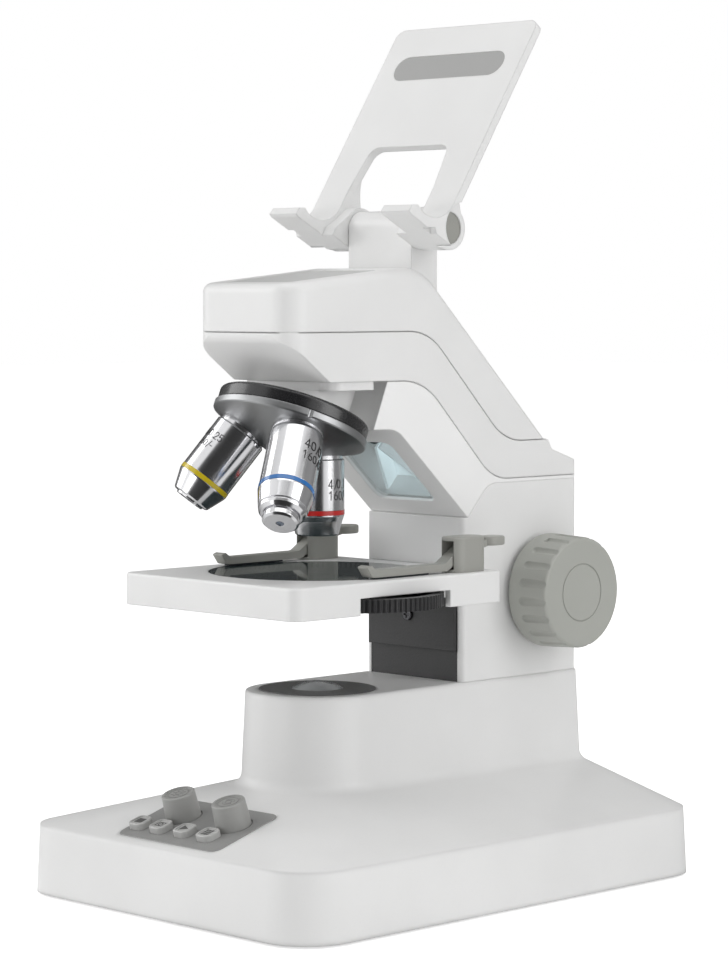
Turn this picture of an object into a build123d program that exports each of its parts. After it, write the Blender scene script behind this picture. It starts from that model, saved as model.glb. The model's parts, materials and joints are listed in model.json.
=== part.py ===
from build123d import *
import math
import os

os.makedirs("parts", exist_ok=True)

# ---------------------------------------------------------------- driving dimensions (mm)
base_w, base_l, base_r = 168.54, 227.75, 21.0     # base footprint at its lower edge
base_z0, rim_z, foot_z, ped_z = 1.0, 27.8, 44.2, 81.2
draft = 2.8                                       # degrees, base and pedestal walls
wall = 2.5
body_x = 27.7                                     # half width of pedestal, column and arm
opt_y = -27.7                                     # optical axis: x = 0, y = opt_y
foot_hx, foot_y0, foot_y1 = 29.5, -58.2, 98.8     # pedestal outline where it meets the base
col_y0, col_y1 = 27.0, 97.0
rear_y = 97.0
lamp_r = 23.45
stage_hx, stage_y0, stage_y1 = 50.6, -86.8, 26.3
stage_z0, stage_z1 = 115.7, 128.3
glass_r = 43.5
wheel_x, wheel_y, wheel_r = 24.0, -28.0, 33.5
focus_y, focus_z, shaft_r = 75.0, 116.0, 4.0
gear_m, gear_n = 0.8, 18
gear_rp = gear_m * gear_n / 2                     # 7.2 pitch radius
alpha = 22.2                                      # turret tilt, degrees
p0 = (0.0, opt_y, 222.6)                          # where the three objective axes meet
barrel_r = 10.85
hinge_y, hinge_z = 14.2, 264.7
plate_hx = 40.2
run = 0.05                                        # running clearance, radial

sa, ca = math.sin(math.radians(alpha)), math.cos(math.radians(alpha))
W = (0.0, -sa, -ca)                               # turret axis, pointing down and forward
U = (0.0, ca, -sa)


def along(p, d, t):
    return (p[0] + d[0] * t, p[1] + d[1] * t, p[2] + d[2] * t)


def turret_plane(h):
    return Plane(origin=along(p0, W, h), x_dir=(1, 0, 0), z_dir=W)


def objective_dir(deg):
    c, s = math.cos(math.radians(deg)), math.sin(math.radians(deg))
    return (sa * s, ca * W[1] + sa * c * U[1], ca * W[2] + sa * c * U[2])


def objective_plane(deg):
    return Plane(origin=p0, x_dir=(0, 1, 0) if deg == 0 else (1, 0, -objective_dir(deg)[0] / objective_dir(deg)[2]),
                 z_dir=objective_dir(deg))


def outline(*pts):
    """Closed outline of straight lines; a point given as (a, b, r) is rounded with radius r."""
    n = len(pts)
    ends = []
    for i in range(n):
        p = pts[i]
        if len(p) < 3 or p[2] == 0:
            ends.append((p[:2], None, p[:2]))
            continue
        a, b, c = pts[i - 1], p, pts[(i + 1) % n]
        ua = (a[0] - b[0], a[1] - b[1])
        uc = (c[0] - b[0], c[1] - b[1])
        la, lc = math.hypot(*ua), math.hypot(*uc)
        ua, uc = (ua[0] / la, ua[1] / la), (uc[0] / lc, uc[1] / lc)
        ang = math.acos(max(-1, min(1, ua[0] * uc[0] + ua[1] * uc[1])))
        tl = p[2] / math.tan(ang / 2)
        s, e = (b[0] + ua[0] * tl, b[1] + ua[1] * tl), (b[0] + uc[0] * tl, b[1] + uc[1] * tl)
        bis = (ua[0] + uc[0], ua[1] + uc[1])
        lb = math.hypot(*bis)
        k = p[2] / math.sin(ang / 2) - p[2]
        ends.append((s, (b[0] + bis[0] / lb * k, b[1] + bis[1] / lb * k), e))
    for i in range(n):
        s, m, e = ends[i]
        if m is not None:
            ThreePointArc(s, m, e)
        nxt = ends[(i + 1) % n][0]
        if math.hypot(nxt[0] - e[0], nxt[1] - e[1]) > 1e-4:
            Line(e, nxt)


def save(part, name):
    part.part.label = name
    export_step(part.part, "parts/" + name + ".step")


# ---------------------------------------------------------------- base
in_base = wall / math.cos(math.radians(draft))
top_shift = (rim_z - base_z0) * math.tan(math.radians(draft))
rim_hx, rim_hy = base_w / 2 - top_shift, base_l / 2 - top_shift
slope = math.atan2(foot_z - rim_z, rim_hy + foot_y0)
ss, cs = math.sin(slope), math.cos(slope)
panel_plane = Plane(origin=(0, -rim_hy, rim_z), x_dir=(1, 0, 0), z_dir=(0, -ss, cs))

with BuildPart() as base_housing:
    with BuildSketch(Plane.XY.offset(base_z0)):
        RectangleRounded(base_w, base_l, base_r)
    extrude(amount=rim_z - base_z0, taper=draft)
    with BuildSketch(Plane.XY.offset(rim_z)):
        with BuildLine():
            outline((-rim_hx, -rim_hy, 19.7), (rim_hx, -rim_hy, 19.7), (rim_hx, rim_hy, 19.7), (-rim_hx, rim_hy, 19.7))
        make_face()
    with BuildSketch(Plane.XY.offset(foot_z)):
        with BuildLine():
            outline((-foot_hx, foot_y0, 28.9), (foot_hx, foot_y0, 28.9), (foot_hx, foot_y1, 4), (-foot_hx, foot_y1, 4))
        make_face()
    loft(ruled=True)
    with BuildSketch(Plane.XY.offset(foot_z)):
        with BuildLine():
            outline((-foot_hx, foot_y0, 28.9), (foot_hx, foot_y0, 28.9), (foot_hx, foot_y1, 4), (-foot_hx, foot_y1, 4))
        make_face()
    extrude(amount=ped_z - foot_z, taper=draft)
    for low, high, radii in ((foot_z - 0.2, foot_z + 0.2, (5.0, 3.0, 1.5)), (rim_z - 0.2, rim_z + 0.2, (3.2, 2.0, 1.0)), (ped_z - 0.1, ped_z + 0.1, (0.8, 0.5))):
        for rad in radii:
            try:
                fillet(base_housing.edges().filter_by(lambda e: low < e.center().Z < high and abs(e.tangent_at(0.5).Z) < 0.05), radius=rad)
                print("base edge fillet", round(low, 1), rad)
                break
            except Exception:
                pass
    # hollow inside
    with BuildSketch(Plane.XY.offset(base_z0)):
        RectangleRounded(base_w - 5, base_l - 5, base_r - 2.5)
    extrude(amount=rim_z - base_z0 - 2.5, taper=draft, mode=Mode.SUBTRACT)
    with BuildSketch(Plane.XY.offset(rim_z - 2.5)):
        with BuildLine():
            outline((-rim_hx + 2.5, -rim_hy + 2.5, 17.2), (rim_hx - 2.5, -rim_hy + 2.5, 17.2),
                    (rim_hx - 2.5, rim_hy - 2.5, 17.2), (-rim_hx + 2.5, rim_hy - 2.5, 17.2))
        make_face()
    with BuildSketch(Plane.XY.offset(foot_z - 2.0)):
        with BuildLine():
            outline((-foot_hx + 2.5, foot_y0 + 2.5, 26.4), (foot_hx - 2.5, foot_y0 + 2.5, 26.4),
                    (foot_hx - 2.5, foot_y1 - 2.5, 2), (-foot_hx + 2.5, foot_y1 - 2.5, 2))
        make_face()
    loft(ruled=True, mode=Mode.SUBTRACT)
    with BuildSketch(Plane.XY.offset(foot_z - 2.0)):
        with BuildLine():
            outline((-foot_hx + 2.5, foot_y0 + 2.5, 26.4), (foot_hx - 2.5, foot_y0 + 2.5, 26.4),
                    (foot_hx - 2.5, foot_y1 - 2.5, 2), (-foot_hx + 2.5, foot_y1 - 2.5, 2))
        make_face()
    extrude(amount=ped_z - 5 - foot_z + 2.0, taper=draft, mode=Mode.SUBTRACT)
    # four screw bosses
    with BuildSketch(Plane.XY.offset(3.4)):
        with GridLocations(136, 190, 2, 2):
            Circle(4.2)
    extrude(amount=25.6)
    with BuildSketch(Plane.XY.offset(3.4)):
        with GridLocations(136, 190, 2, 2):
            Circle(1.5)
    extrude(amount=14, mode=Mode.SUBTRACT)
    # lamp recess and its shaft, cable way up into the column
    with Locations((0, opt_y, ped_z - 2.0)):
        Cylinder(lamp_r, 4, align=(Align.CENTER, Align.CENTER, Align.MIN), mode=Mode.SUBTRACT)
    with Locations((0, opt_y, ped_z - 6)):
        Cylinder(17.2, 8, align=(Align.CENTER, Align.CENTER, Align.MIN), mode=Mode.SUBTRACT)
    with Locations((0, 60, ped_z - 3)):
        Box(20, 24, 10, mode=Mode.SUBTRACT)
    # seat and window for the control panel
    with BuildSketch(panel_plane.offset(-1.3)):
        with Locations((0, 22.2)):
            RectangleRounded(58.0, 35.0, 4)
    extrude(amount=4, mode=Mode.SUBTRACT)
    with BuildSketch(panel_plane.offset(-8)):
        with Locations((0, 22.2)):
            RectangleRounded(56.6, 31.0, 2)
    extrude(amount=8, mode=Mode.SUBTRACT)
    # round hole for the power inlet in the rear wall
    with BuildSketch(Plane.XZ.offset(-120)):
        with Locations((-50, 15)):
            Circle(5.5)
    extrude(amount=14, mode=Mode.SUBTRACT)
    with BuildSketch(Plane.XZ.offset(-120)):
        with Locations((-50, 15)):
            Circle(7.0)
    extrude(amount=7.4, mode=Mode.SUBTRACT)
save(base_housing, "base_housing")

with BuildPart() as base_bottom_cover:
    with BuildSketch(Plane.XY.offset(base_z0)):
        RectangleRounded(162.6, 221.8, 18)
    extrude(amount=2.4)
    with BuildSketch(Plane.XY.offset(base_z0)):
        with GridLocations(132, 166, 2, 2):
            Circle(8.0)
    extrude(amount=1.0, mode=Mode.SUBTRACT)
    with BuildSketch(Plane.XY.offset(base_z0)):
        with GridLocations(136, 190, 2, 2):
            Circle(1.6)
    extrude(amount=2.4, mode=Mode.SUBTRACT)
    with BuildSketch(Plane.XY.offset(base_z0)):
        with GridLocations(136, 190, 2, 2):
            Circle(3.2)
    extrude(amount=1.4, mode=Mode.SUBTRACT)
    with BuildSketch(Plane.XY.offset(base_z0)):
        with GridLocations(12, 5, 4, 7):
            SlotOverall(9, 2)
    extrude(amount=2.4, mode=Mode.SUBTRACT)
save(base_bottom_cover, "base_bottom_cover")

with BuildPart() as rubber_feet:
    with BuildSketch(Plane.XY):
        with GridLocations(132, 166, 2, 2):
            Circle(8.0)
    extrude(amount=2.0)
    fillet(rubber_feet.edges().group_by(Axis.Z)[0], radius=0.5)
save(rubber_feet, "rubber_feet")

with BuildPart() as base_screws:
    with BuildSketch(Plane.XY.offset(1.2)):
        with GridLocations(136, 190, 2, 2):
            Circle(3.1)
    extrude(amount=1.2)
    with BuildSketch(Plane.XY.offset(2.4)):
        with GridLocations(136, 190, 2, 2):
            Circle(1.5)
    extrude(amount=11)
    with BuildSketch(Plane.XY.offset(1.2)):
        with GridLocations(136, 190, 2, 2):
            Rectangle(3.0, 0.7)
            Rectangle(0.7, 3.0)
    extrude(amount=0.7, mode=Mode.SUBTRACT)
save(base_screws, "base_screws")

# ---------------------------------------------------------------- control panel
knob_spots = {"light_knob_left": (-11.9, 25.8), "light_knob_right": (17.0, 25.9)}
button_spots = {"button_stop": (-23.2, 13.6), "button_photo": (-11.2, 13.6), "button_play": (2.4, 14.0), "button_grid": (15.6, 14.0)}
panel_top = 0.3

with BuildPart() as control_panel:
    with BuildSketch(panel_plane.offset(-1.3)):
        with Locations((0, 22.2)):
            RectangleRounded(58.0, 35.0, 4)
    extrude(amount=1.3 + panel_top)
    chamfer(control_panel.faces().sort_by(Axis.Z)[-1].edges() if False else control_panel.edges().filter_by(lambda e: abs((e.center() - Vector(*panel_plane.origin)).dot(panel_plane.z_dir) - panel_top) < 0.01), length=0.25)
    with BuildSketch(panel_plane.offset(-2.9)):
        with Locations((0, 22.2)):
            RectangleRounded(51.6, 28.6, 2)
    extrude(amount=1.6)
    with BuildSketch(panel_plane.offset(-10.0)):
        with Locations((-23.5, 32.5), (23.5, 32.5), (23.5, 11.9)):
            Circle(1.9)
    extrude(amount=7.1)
    with BuildSketch(panel_plane.offset(-3)):
        with Locations(*knob_spots.values()):
            Circle(3.0 + run)
    extrude(amount=4, mode=Mode.SUBTRACT)
    with BuildSketch(panel_plane.offset(panel_top - 0.9)):
        with Locations(*knob_spots.values()):
            Circle(7.5)
    extrude(amount=2, mode=Mode.SUBTRACT)
    with BuildSketch(panel_plane.offset(-3)):
        with Locations(*button_spots.values()):
            RectangleRounded(8.16, 8.16, 2.48)
    extrude(amount=4, mode=Mode.SUBTRACT)
save(control_panel, "control_panel")

with BuildPart() as control_board:
    with BuildSketch(panel_plane.offset(-11.6)):
        with Locations((0, 22.2)):
            Rectangle(51.0, 26.0)
    extrude(amount=1.6)
    with BuildSketch(panel_plane.offset(-10.0)):
        with Locations(*button_spots.values()):
            Rectangle(6, 6)
    extrude(amount=3.4)
    with BuildSketch(panel_plane.offset(-10.0)):
        with Locations((27.0 - 27.0, 32.2)):
            Rectangle(9, 2.6)
    extrude(amount=4.5)
save(control_board, "control_board")

knob_parts = {}
for nm, (kx, ks) in knob_spots.items():
    with BuildPart(panel_plane) as knob:
        with Locations((kx, ks, panel_top - 0.6)):
            Cone(7.05, 6.55, 10.8, align=(Align.CENTER, Align.CENTER, Align.MIN))
        fillet(knob.edges().filter_by(GeomType.CIRCLE).sort_by(SortBy.RADIUS)[0], radius=0.6)
        with BuildSketch(panel_plane.offset(panel_top + 10.2 - 0.35)):
            with Locations((kx, ks)):
                Circle(5.2)
        extrude(amount=2, mode=Mode.SUBTRACT)
        with BuildSketch(panel_plane.offset(-8.6)):
            with Locations((kx, ks)):
                Circle(3.0)
        extrude(amount=8.6 + panel_top + 0.4)
    save(knob, nm)
    knob_parts[nm] = knob

for nm, (bx, bs) in button_spots.items():
    with BuildPart(panel_plane) as button:
        with BuildSketch(panel_plane.offset(-3.3)):
            with Locations((bx, bs)):
                RectangleRounded(8.0, 8.0, 2.4)
        extrude(amount=3.3 + panel_top + 2.7)
        fillet(button.edges().filter_by(lambda e: abs((e.center() - Vector(*panel_plane.origin)).dot(panel_plane.z_dir) - (panel_top + 2.7)) < 0.01), radius=0.6)
        with BuildSketch(panel_plane.offset(panel_top + 2.3)):
            with Locations((bx, bs)):
                RectangleRounded(5.6, 5.6, 1.2)
        extrude(amount=1, mode=Mode.SUBTRACT)
        with BuildSketch(panel_plane.offset(-4.4)):
            with Locations((bx, bs)):
                Circle(4.8)
        extrude(amount=1.2)
        with BuildSketch(panel_plane.offset(-5.4)):
            with Locations((bx, bs)):
                Circle(1.6)
        extrude(amount=1.0)
    save(button, nm)

# ---------------------------------------------------------------- lamp in the pedestal top
with BuildPart() as lamp_ring:
    with Locations((0, opt_y, ped_z - 2.0)):
        Cylinder(lamp_r, 2.4, align=(Align.CENTER, Align.CENTER, Align.MIN))
    fillet(lamp_ring.edges().filter_by(GeomType.CIRCLE).group_by(Axis.Z)[-1], radius=0.5)
    with Locations((0, opt_y, ped_z - 10)):
        Cylinder(17.1, 8.0, align=(Align.CENTER, Align.CENTER, Align.MIN))
    with Locations((0, opt_y, ped_z - 12)):
        Cylinder(10.3, 16, align=(Align.CENTER, Align.CENTER, Align.MIN), mode=Mode.SUBTRACT)
    with Locations((0, opt_y, ped_z - 12)):
        Cylinder(14.5, 8, align=(Align.CENTER, Align.CENTER, Align.MIN), mode=Mode.SUBTRACT)
save(lamp_ring, "lamp_ring")

with BuildPart() as lamp_lens:
    with Locations((0, opt_y, ped_z + 3.3 - 19.8)):
        Sphere(19.8)
    with Locations((0, opt_y, ped_z - 3.4)):
        Cylinder(10.3, 12, align=(Align.CENTER, Align.CENTER, Align.MIN), mode=Mode.INTERSECT)
save(lamp_lens, "lamp_lens")

with BuildPart() as lamp_board:
    with Locations((0, opt_y, ped_z - 11.6)):
        Cylinder(17.0, 1.6, align=(Align.CENTER, Align.CENTER, Align.MIN))
    with Locations((0, opt_y, ped_z - 10.0)):
        Cylinder(2.6, 3.0, align=(Align.CENTER, Align.CENTER, Align.MIN))
    with Locations((0, opt_y, ped_z - 7.0)):
        Sphere(2.6)
save(lamp_board, "lamp_board")

with BuildPart() as power_inlet:
    with BuildSketch(Plane.XZ.offset(-113.5)):
        with Locations((-50, 15)):
            Circle(7.0)
    extrude(amount=0.9)
    with BuildSketch(Plane.XZ.offset(-112.6)):
        with Locations((-50, 15)):
            Circle(5.5)
    extrude(amount=12)
    with BuildSketch(Plane.XZ.offset(-114.2)):
        with Locations((-50, 15)):
            Circle(3.2)
    extrude(amount=10, mode=Mode.SUBTRACT)
    with BuildSketch(Plane.XZ.offset(-113.0)):
        with Locations((-50, 15)):
            Circle(1.0)
    extrude(amount=9)
save(power_inlet, "power_inlet")

# ---------------------------------------------------------------- column
with BuildPart() as column_housing:
    with BuildSketch(Plane.XY.offset(ped_z)):
        with BuildLine():
            outline((-body_x, col_y0, 2.5), (body_x, col_y0, 2.5), (body_x, col_y1, 4), (-body_x, col_y1, 4))
        make_face()
    extrude(amount=85)
    with BuildSketch(Plane.YZ.offset(-30)):
        with BuildLine():
            outline((20, 148.0), (30.2, 148.0), (42.3, 161.3, 10), (110, 161.3), (110, 200), (20, 200))
        make_face()
    extrude(amount=60, mode=Mode.SUBTRACT)
    with BuildSketch(Plane.YZ.offset(-24.8)):
        with BuildLine():
            outline((29.0, 70), (94.5, 70), (94.5, 158.8), (43.2, 158.8, 8), (32, 147.2), (29.0, 145.6))
        make_face()
    extrude(amount=49.6, mode=Mode.SUBTRACT)
    with Locations((0, 24, 70)):
        Box(49.6, 12, 58.0, align=(Align.CENTER, Align.MIN, Align.MIN), mode=Mode.SUBTRACT)
    with BuildSketch(Plane.YZ.offset(-40)):
        with Locations((focus_y, focus_z)):
            Circle(shaft_r + run)
    extrude(amount=80, mode=Mode.SUBTRACT)
save(column_housing, "column_housing")

with BuildPart() as focus_guide_plate:
    with Locations((0, 27.2, ped_z)):
        Box(49.6, 1.7, 46.7, align=(Align.CENTER, Align.MIN, Align.MIN))
    with Locations((-16, 27.6, 100.2), (16, 27.6, 100.2)):
        Box(9.2, 4, 40.0, align=(Align.CENTER, Align.CENTER, Align.MIN), mode=Mode.SUBTRACT)
save(focus_guide_plate, "focus_guide_plate")

with BuildPart() as bracket_screw:
    with BuildSketch(Plane.XZ.offset(-24.1)):
        with Locations((-1.5, 107)):
            Circle(2.6)
    extrude(amount=-1.1)
    fillet(bracket_screw.edges().group_by(Axis.Y)[0], radius=0.5)
    with BuildSketch(Plane.XZ.offset(-25.2)):
        with Locations((-1.5, 107)):
            Circle(1.5)
    extrude(amount=-1.6)
    with BuildSketch(Plane.XZ.offset(-24.0)):
        with Locations((-1.5, 107)):
            Rectangle(3.0, 0.7)
            Rectangle(0.7, 3.0)
    extrude(amount=-0.7, mode=Mode.SUBTRACT)
save(bracket_screw, "bracket_screw")

with BuildPart() as guide_rods:
    with BuildSketch(Plane.XY.offset(ped_z)):
        with Locations((-17, 37.5), (17, 37.5)):
            Circle(3.0)
    extrude(amount=66)
    with BuildSketch(Plane.XY.offset(ped_z)):
        with Locations((-17, 37.5), (17, 37.5)):
            Circle(5.0)
    extrude(amount=2.5)
save(guide_rods, "guide_rods")

# ---------------------------------------------------------------- focus drive
def rack_outline():
    """Rack section in YZ: pitch line at y = focus_y - gear_rp, teeth pointing +Y."""
    pitch = math.pi * gear_m
    ypl = focus_y - gear_rp
    half = (pitch / 2 - 0.14) / 2
    t20 = math.tan(math.radians(20))
    add, ded = 0.6, 1.0
    pts = [(62.0, 102.0), (ypl - ded, 102.0)]
    k = -6
    while True:
        zc = focus_z + (k + 0.5) * pitch
        if zc > 133.0:
            break
        if zc > 103.4:
            pts += [(ypl - ded, zc - half - ded * t20), (ypl + add, zc - half + add * t20),
                    (ypl + add, zc + half - add * t20), (ypl - ded, zc + half + ded * t20)]
        k += 1
    pts += [(ypl - ded, 134.0), (62.0, 134.0)]
    return pts


def pinion_outline():
    """Involute pinion in YZ around (focus_y, focus_z), one tooth centred on -Y."""
    inv = lambda a: math.tan(a) - a
    pa = math.radians(20)
    rb = gear_rp * math.cos(pa)
    ro, rr = gear_rp + 0.75, gear_rp - 1.0
    half_p = (math.pi * gear_m / 2 - 0.14) / 2 / gear_rp
    pts = []
    for i in range(gear_n):
        mid = math.pi + 2 * math.pi * i / gear_n
        side = []
        for j in range(6):
            r = rb + (ro - rb) * j / 5
            a = math.acos(min(1, rb / r))
            side.append((r, half_p + inv(pa) - inv(a)))
        base_half = side[0][1]
        pts.append((rr, mid - base_half))
        for r, h in side:
            pts.append((r, mid - h))
        for r, h in reversed(side):
            pts.append((r, mid + h))
        pts.append((rr, mid + base_half))
    return [(focus_y + r * math.cos(a), focus_z + r * math.sin(a)) for r, a in pts]


with BuildPart() as focus_pinion:
    with BuildSketch(Plane.YZ.offset(-7)):
        with BuildLine():
            Polyline(*pinion_outline(), close=True)
        make_face()
    extrude(amount=14)
    with BuildSketch(Plane.YZ.offset(-9)):
        with Locations((focus_y, focus_z)):
            Circle(5.8)
    extrude(amount=18)
    with BuildSketch(Plane.YZ.offset(-10)):
        with Locations((focus_y, focus_z)):
            Circle(shaft_r)
    extrude(amount=20, mode=Mode.SUBTRACT)
save(focus_pinion, "focus_pinion")

with BuildPart() as focus_shaft:
    with BuildSketch(Plane.YZ.offset(-46)):
        with Locations((focus_y, focus_z)):
            Circle(shaft_r)
    extrude(amount=92)
save(focus_shaft, "focus_shaft")

with BuildPart() as focus_rack:
    with BuildSketch(Plane.YZ.offset(-6)):
        with BuildLine():
            Polyline(*rack_outline(), close=True)
        make_face()
    extrude(amount=12)
save(focus_rack, "focus_rack")

with BuildPart() as stage_carriage:
    with Locations((0, 29.3, 102)):
        Box(46, 13.7, 32, align=(Align.CENTER, Align.MIN, Align.MIN))
    with Locations((0, 25.2, 93.6)):
        Box(49.2, 1.7, 22.0, align=(Align.CENTER, Align.MIN, Align.MIN))
    with Locations((0, 43.0, 102)):
        Box(12, 19.0, 32, align=(Align.CENTER, Align.MIN, Align.MIN))
    with Locations((-16, stage_y1, 113), (16, stage_y1, 113)):
        Box(8, 3.1, 12, align=(Align.CENTER, Align.MIN, Align.MIN))
    with BuildSketch(Plane.XZ.offset(-24)):
        with Locations((-1.5, 107)):
            Circle(1.5)
    extrude(amount=-2.95, mode=Mode.SUBTRACT)
    with BuildSketch(Plane.XY.offset(100)):
        with Locations((-17, 37.5), (17, 37.5)):
            Circle(3.0 + run)
    extrude(amount=40, mode=Mode.SUBTRACT)
    with Locations((0, 36, 118)):
        Box(20, 6, 60, mode=Mode.SUBTRACT)
save(stage_carriage, "stage_carriage")

for nm, s in (("focus_knob_left", -1), ("focus_knob_right", 1)):
    kp = Plane(origin=(28.5 * s, focus_y, focus_z), x_dir=(0, 1, 0), z_dir=(s, 0, 0))
    with BuildPart(kp) as fk:
        Cone(23.6, 22.7, 21.0, align=(Align.CENTER, Align.CENTER, Align.MIN))
        fillet(fk.edges().filter_by(GeomType.CIRCLE).sort_by(SortBy.RADIUS)[-1], radius=3.2)
        fillet(fk.edges().filter_by(GeomType.CIRCLE).group_by(Axis.X)[-1 if s > 0 else 0], radius=1.4)
        with PolarLocations(24.1, 19, start_angle=180 + 7.2 * s):
            with Locations((0, 0, 9.0)):
                Cylinder(2.0, 14.0, align=(Align.CENTER, Align.CENTER, Align.MIN), mode=Mode.SUBTRACT)
                Sphere(2.0, mode=Mode.SUBTRACT)
        with BuildSketch(kp.offset(20.75)):
            Circle(11.9)
            Circle(11.5, mode=Mode.SUBTRACT)
        extrude(amount=2, mode=Mode.SUBTRACT)
        with BuildSketch(kp):
            Circle(19.0)
            Circle(8.0, mode=Mode.SUBTRACT)
        extrude(amount=14, mode=Mode.SUBTRACT)
        with BuildSketch(kp):
            Circle(shaft_r)
        extrude(amount=17.5, mode=Mode.SUBTRACT)
    save(fk, nm)

# ---------------------------------------------------------------- stage
with BuildPart() as stage_plate:
    with BuildSketch(Plane.XY.offset(stage_z0)):
        with BuildLine():
            outline((-stage_hx, stage_y0, 5.5), (stage_hx, stage_y0, 5.5), (stage_hx, stage_y1, 3), (-stage_hx, stage_y1, 3))
        make_face()
    extrude(amount=stage_z1 - stage_z0)
    fillet(stage_plate.edges().group_by(Axis.Z)[-1], radius=1.0)
    with BuildSketch(Plane.XY.offset(stage_z0)):
        with BuildLine():
            outline((-stage_hx + 2.6, stage_y0 + 2.6, 3), (stage_hx - 2.6, stage_y0 + 2.6, 3),
                    (stage_hx - 2.6, stage_y1 - 4, 1), (-stage_hx + 2.6, stage_y1 - 4, 1))
        make_face()
    extrude(amount=7.2, mode=Mode.SUBTRACT)
    with Locations((0, opt_y, 125.8)):
        Cylinder(glass_r, 6, align=(Align.CENTER, Align.CENTER, Align.MIN), mode=Mode.SUBTRACT)
    with Locations((0, opt_y, 118)):
        Cylinder(15, 12, align=(Align.CENTER, Align.CENTER, Align.MIN), mode=Mode.SUBTRACT)
    with Locations((stage_hx, -28.3, stage_z0)):
        Box(10, 49.2, 6.7, align=(Align.CENTER, Align.CENTER, Align.MIN), mode=Mode.SUBTRACT)
    with Locations((wheel_x, wheel_y, 122.0)):
        Cylinder(2.0, 2.9, align=(Align.CENTER, Align.CENTER, Align.MIN), mode=Mode.SUBTRACT)
save(stage_plate, "stage_plate")

with BuildPart() as stage_glass:
    with Locations((0, opt_y, 125.8)):
        Cylinder(glass_r, stage_z1 - 125.8, align=(Align.CENTER, Align.CENTER, Align.MIN))
    chamfer(stage_glass.edges().group_by(Axis.Z)[-1], length=0.3)
save(stage_glass, "stage_glass")

with BuildPart() as diaphragm_wheel:
    with Locations((wheel_x, wheel_y, 116.4)):
        Cylinder(wheel_r, 5.2, align=(Align.CENTER, Align.CENTER, Align.MIN))
    with Locations((wheel_x, wheel_y, 118.4)):
        Cylinder(wheel_r - 4, 5, align=(Align.CENTER, Align.CENTER, Align.MIN), mode=Mode.SUBTRACT)
    with BuildSketch(Plane.XY.offset(116)):
        with Locations((wheel_x, wheel_y)):
            with PolarLocations(wheel_r + 0.15, 90):
                Circle(0.75)
    extrude(amount=8, mode=Mode.SUBTRACT)
    for i, rad in enumerate((5.0, 4.9, 4.0, 2.6, 1.3)):
        ang = math.radians(180 + 72 * i)
        with Locations((wheel_x + 24 * math.cos(ang), wheel_y + 24 * math.sin(ang), 114)):
            Cylinder(rad if i else 5.0, 8, align=(Align.CENTER, Align.CENTER, Align.MIN), mode=Mode.SUBTRACT)
    with Locations((wheel_x, wheel_y, 118.4)):
        Cylinder(5.0, 3.2, align=(Align.CENTER, Align.CENTER, Align.MIN))
    with Locations((wheel_x, wheel_y, 114)):
        Cylinder(2.0 + run, 10, align=(Align.CENTER, Align.CENTER, Align.MIN), mode=Mode.SUBTRACT)
save(diaphragm_wheel, "diaphragm_wheel")

with BuildPart() as diaphragm_screw:
    with Locations((wheel_x, wheel_y, 114.8)):
        Cylinder(4.2, 1.5, align=(Align.CENTER, Align.CENTER, Align.MIN))
    with Locations((wheel_x, wheel_y, 116.3)):
        Cylinder(2.0, 8.6, align=(Align.CENTER, Align.CENTER, Align.MIN))
    with Locations((wheel_x, wheel_y, 114.8)):
        Box(6, 0.8, 1.4, mode=Mode.SUBTRACT)
save(diaphragm_screw, "diaphragm_screw")

# ---------------------------------------------------------------- stage clips
clip_y, clip_z = 14.5, 137.0
with BuildPart() as clip_mounts:
    with BuildSketch(Plane.XY.offset(stage_z1)):
        with Locations((-42, 12.3), (42, 12.3)):
            SlotOverall(19.4, 11.2, rotation=90)
    extrude(amount=14.0)
    fillet(clip_mounts.edges().group_by(Axis.Z)[-1], radius=0.7)
    # slot for the lever, open at the front and at the back, closed above
    with Locations((-42, 12.3, stage_z1 + 1.2), (42, 12.3, stage_z1 + 1.2)):
        Box(6.4, 30, 11.3, align=(Align.CENTER, Align.CENTER, Align.MIN), mode=Mode.SUBTRACT)
    # pin bores, blind at their +X end
    for s in (-1, 1):
        with BuildSketch(Plane.YZ.offset(42 * s - 6)):
            with Locations((clip_y, clip_z)):
                Circle(1.5)
        extrude(amount=10.9, mode=Mode.SUBTRACT)
save(clip_mounts, "clip_mounts")

with BuildPart() as clip_pins:
    for s in (-1, 1):
        with BuildSketch(Plane.YZ.offset(42 * s - 5.4)):
            with Locations((clip_y, clip_z)):
                Circle(1.5)
        extrude(amount=10.2)
save(clip_pins, "clip_pins")

for nm, s in (("clip_lever_left", -1), ("clip_lever_right", 1)):
    with BuildPart() as lever:
        with BuildSketch(Plane.YZ.offset(42 * s - 2.8)):
            with BuildLine():
                outline((-43.6, 133.2, 0.5), (-40.6, 129.1, 1.5), (0.6, 129.1, 3), (9.6, 134.4, 3), (16.0, 136.0, 2), (24.0, 137.9),
                        (24.0, 140.5), (15.0, 139.9, 3), (8.4, 138.1, 3), (-0.6, 132.2, 3), (-38.6, 132.0, 1), (-41.4, 133.9, 0.5))
            make_face()
        extrude(amount=5.6)
        with BuildSketch(Plane.XY.offset(137.9)):
            with Locations((42 * s, 28.4)):
                SlotOverall(12.0, 9.6, rotation=90)
        extrude(amount=3.6)
        fillet(lever.edges().filter_by(lambda e: e.center().Y > 22.3 and (e.center().Z > 141.4 or (e.center().Z < 138.0 and e.center().Y > 24.6))), radius=0.8)
        with BuildSketch(Plane.YZ.offset(42 * s - 3.0)):
            with Locations((clip_y, clip_z)):
                Circle(2.9)
        extrude(amount=6.0)
        with BuildSketch(Plane.YZ.offset(42 * s - 8)):
            with Locations((clip_y, clip_z)):
                Circle(1.5 + run)
        extrude(amount=16, mode=Mode.SUBTRACT)
    save(lever, nm)

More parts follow.
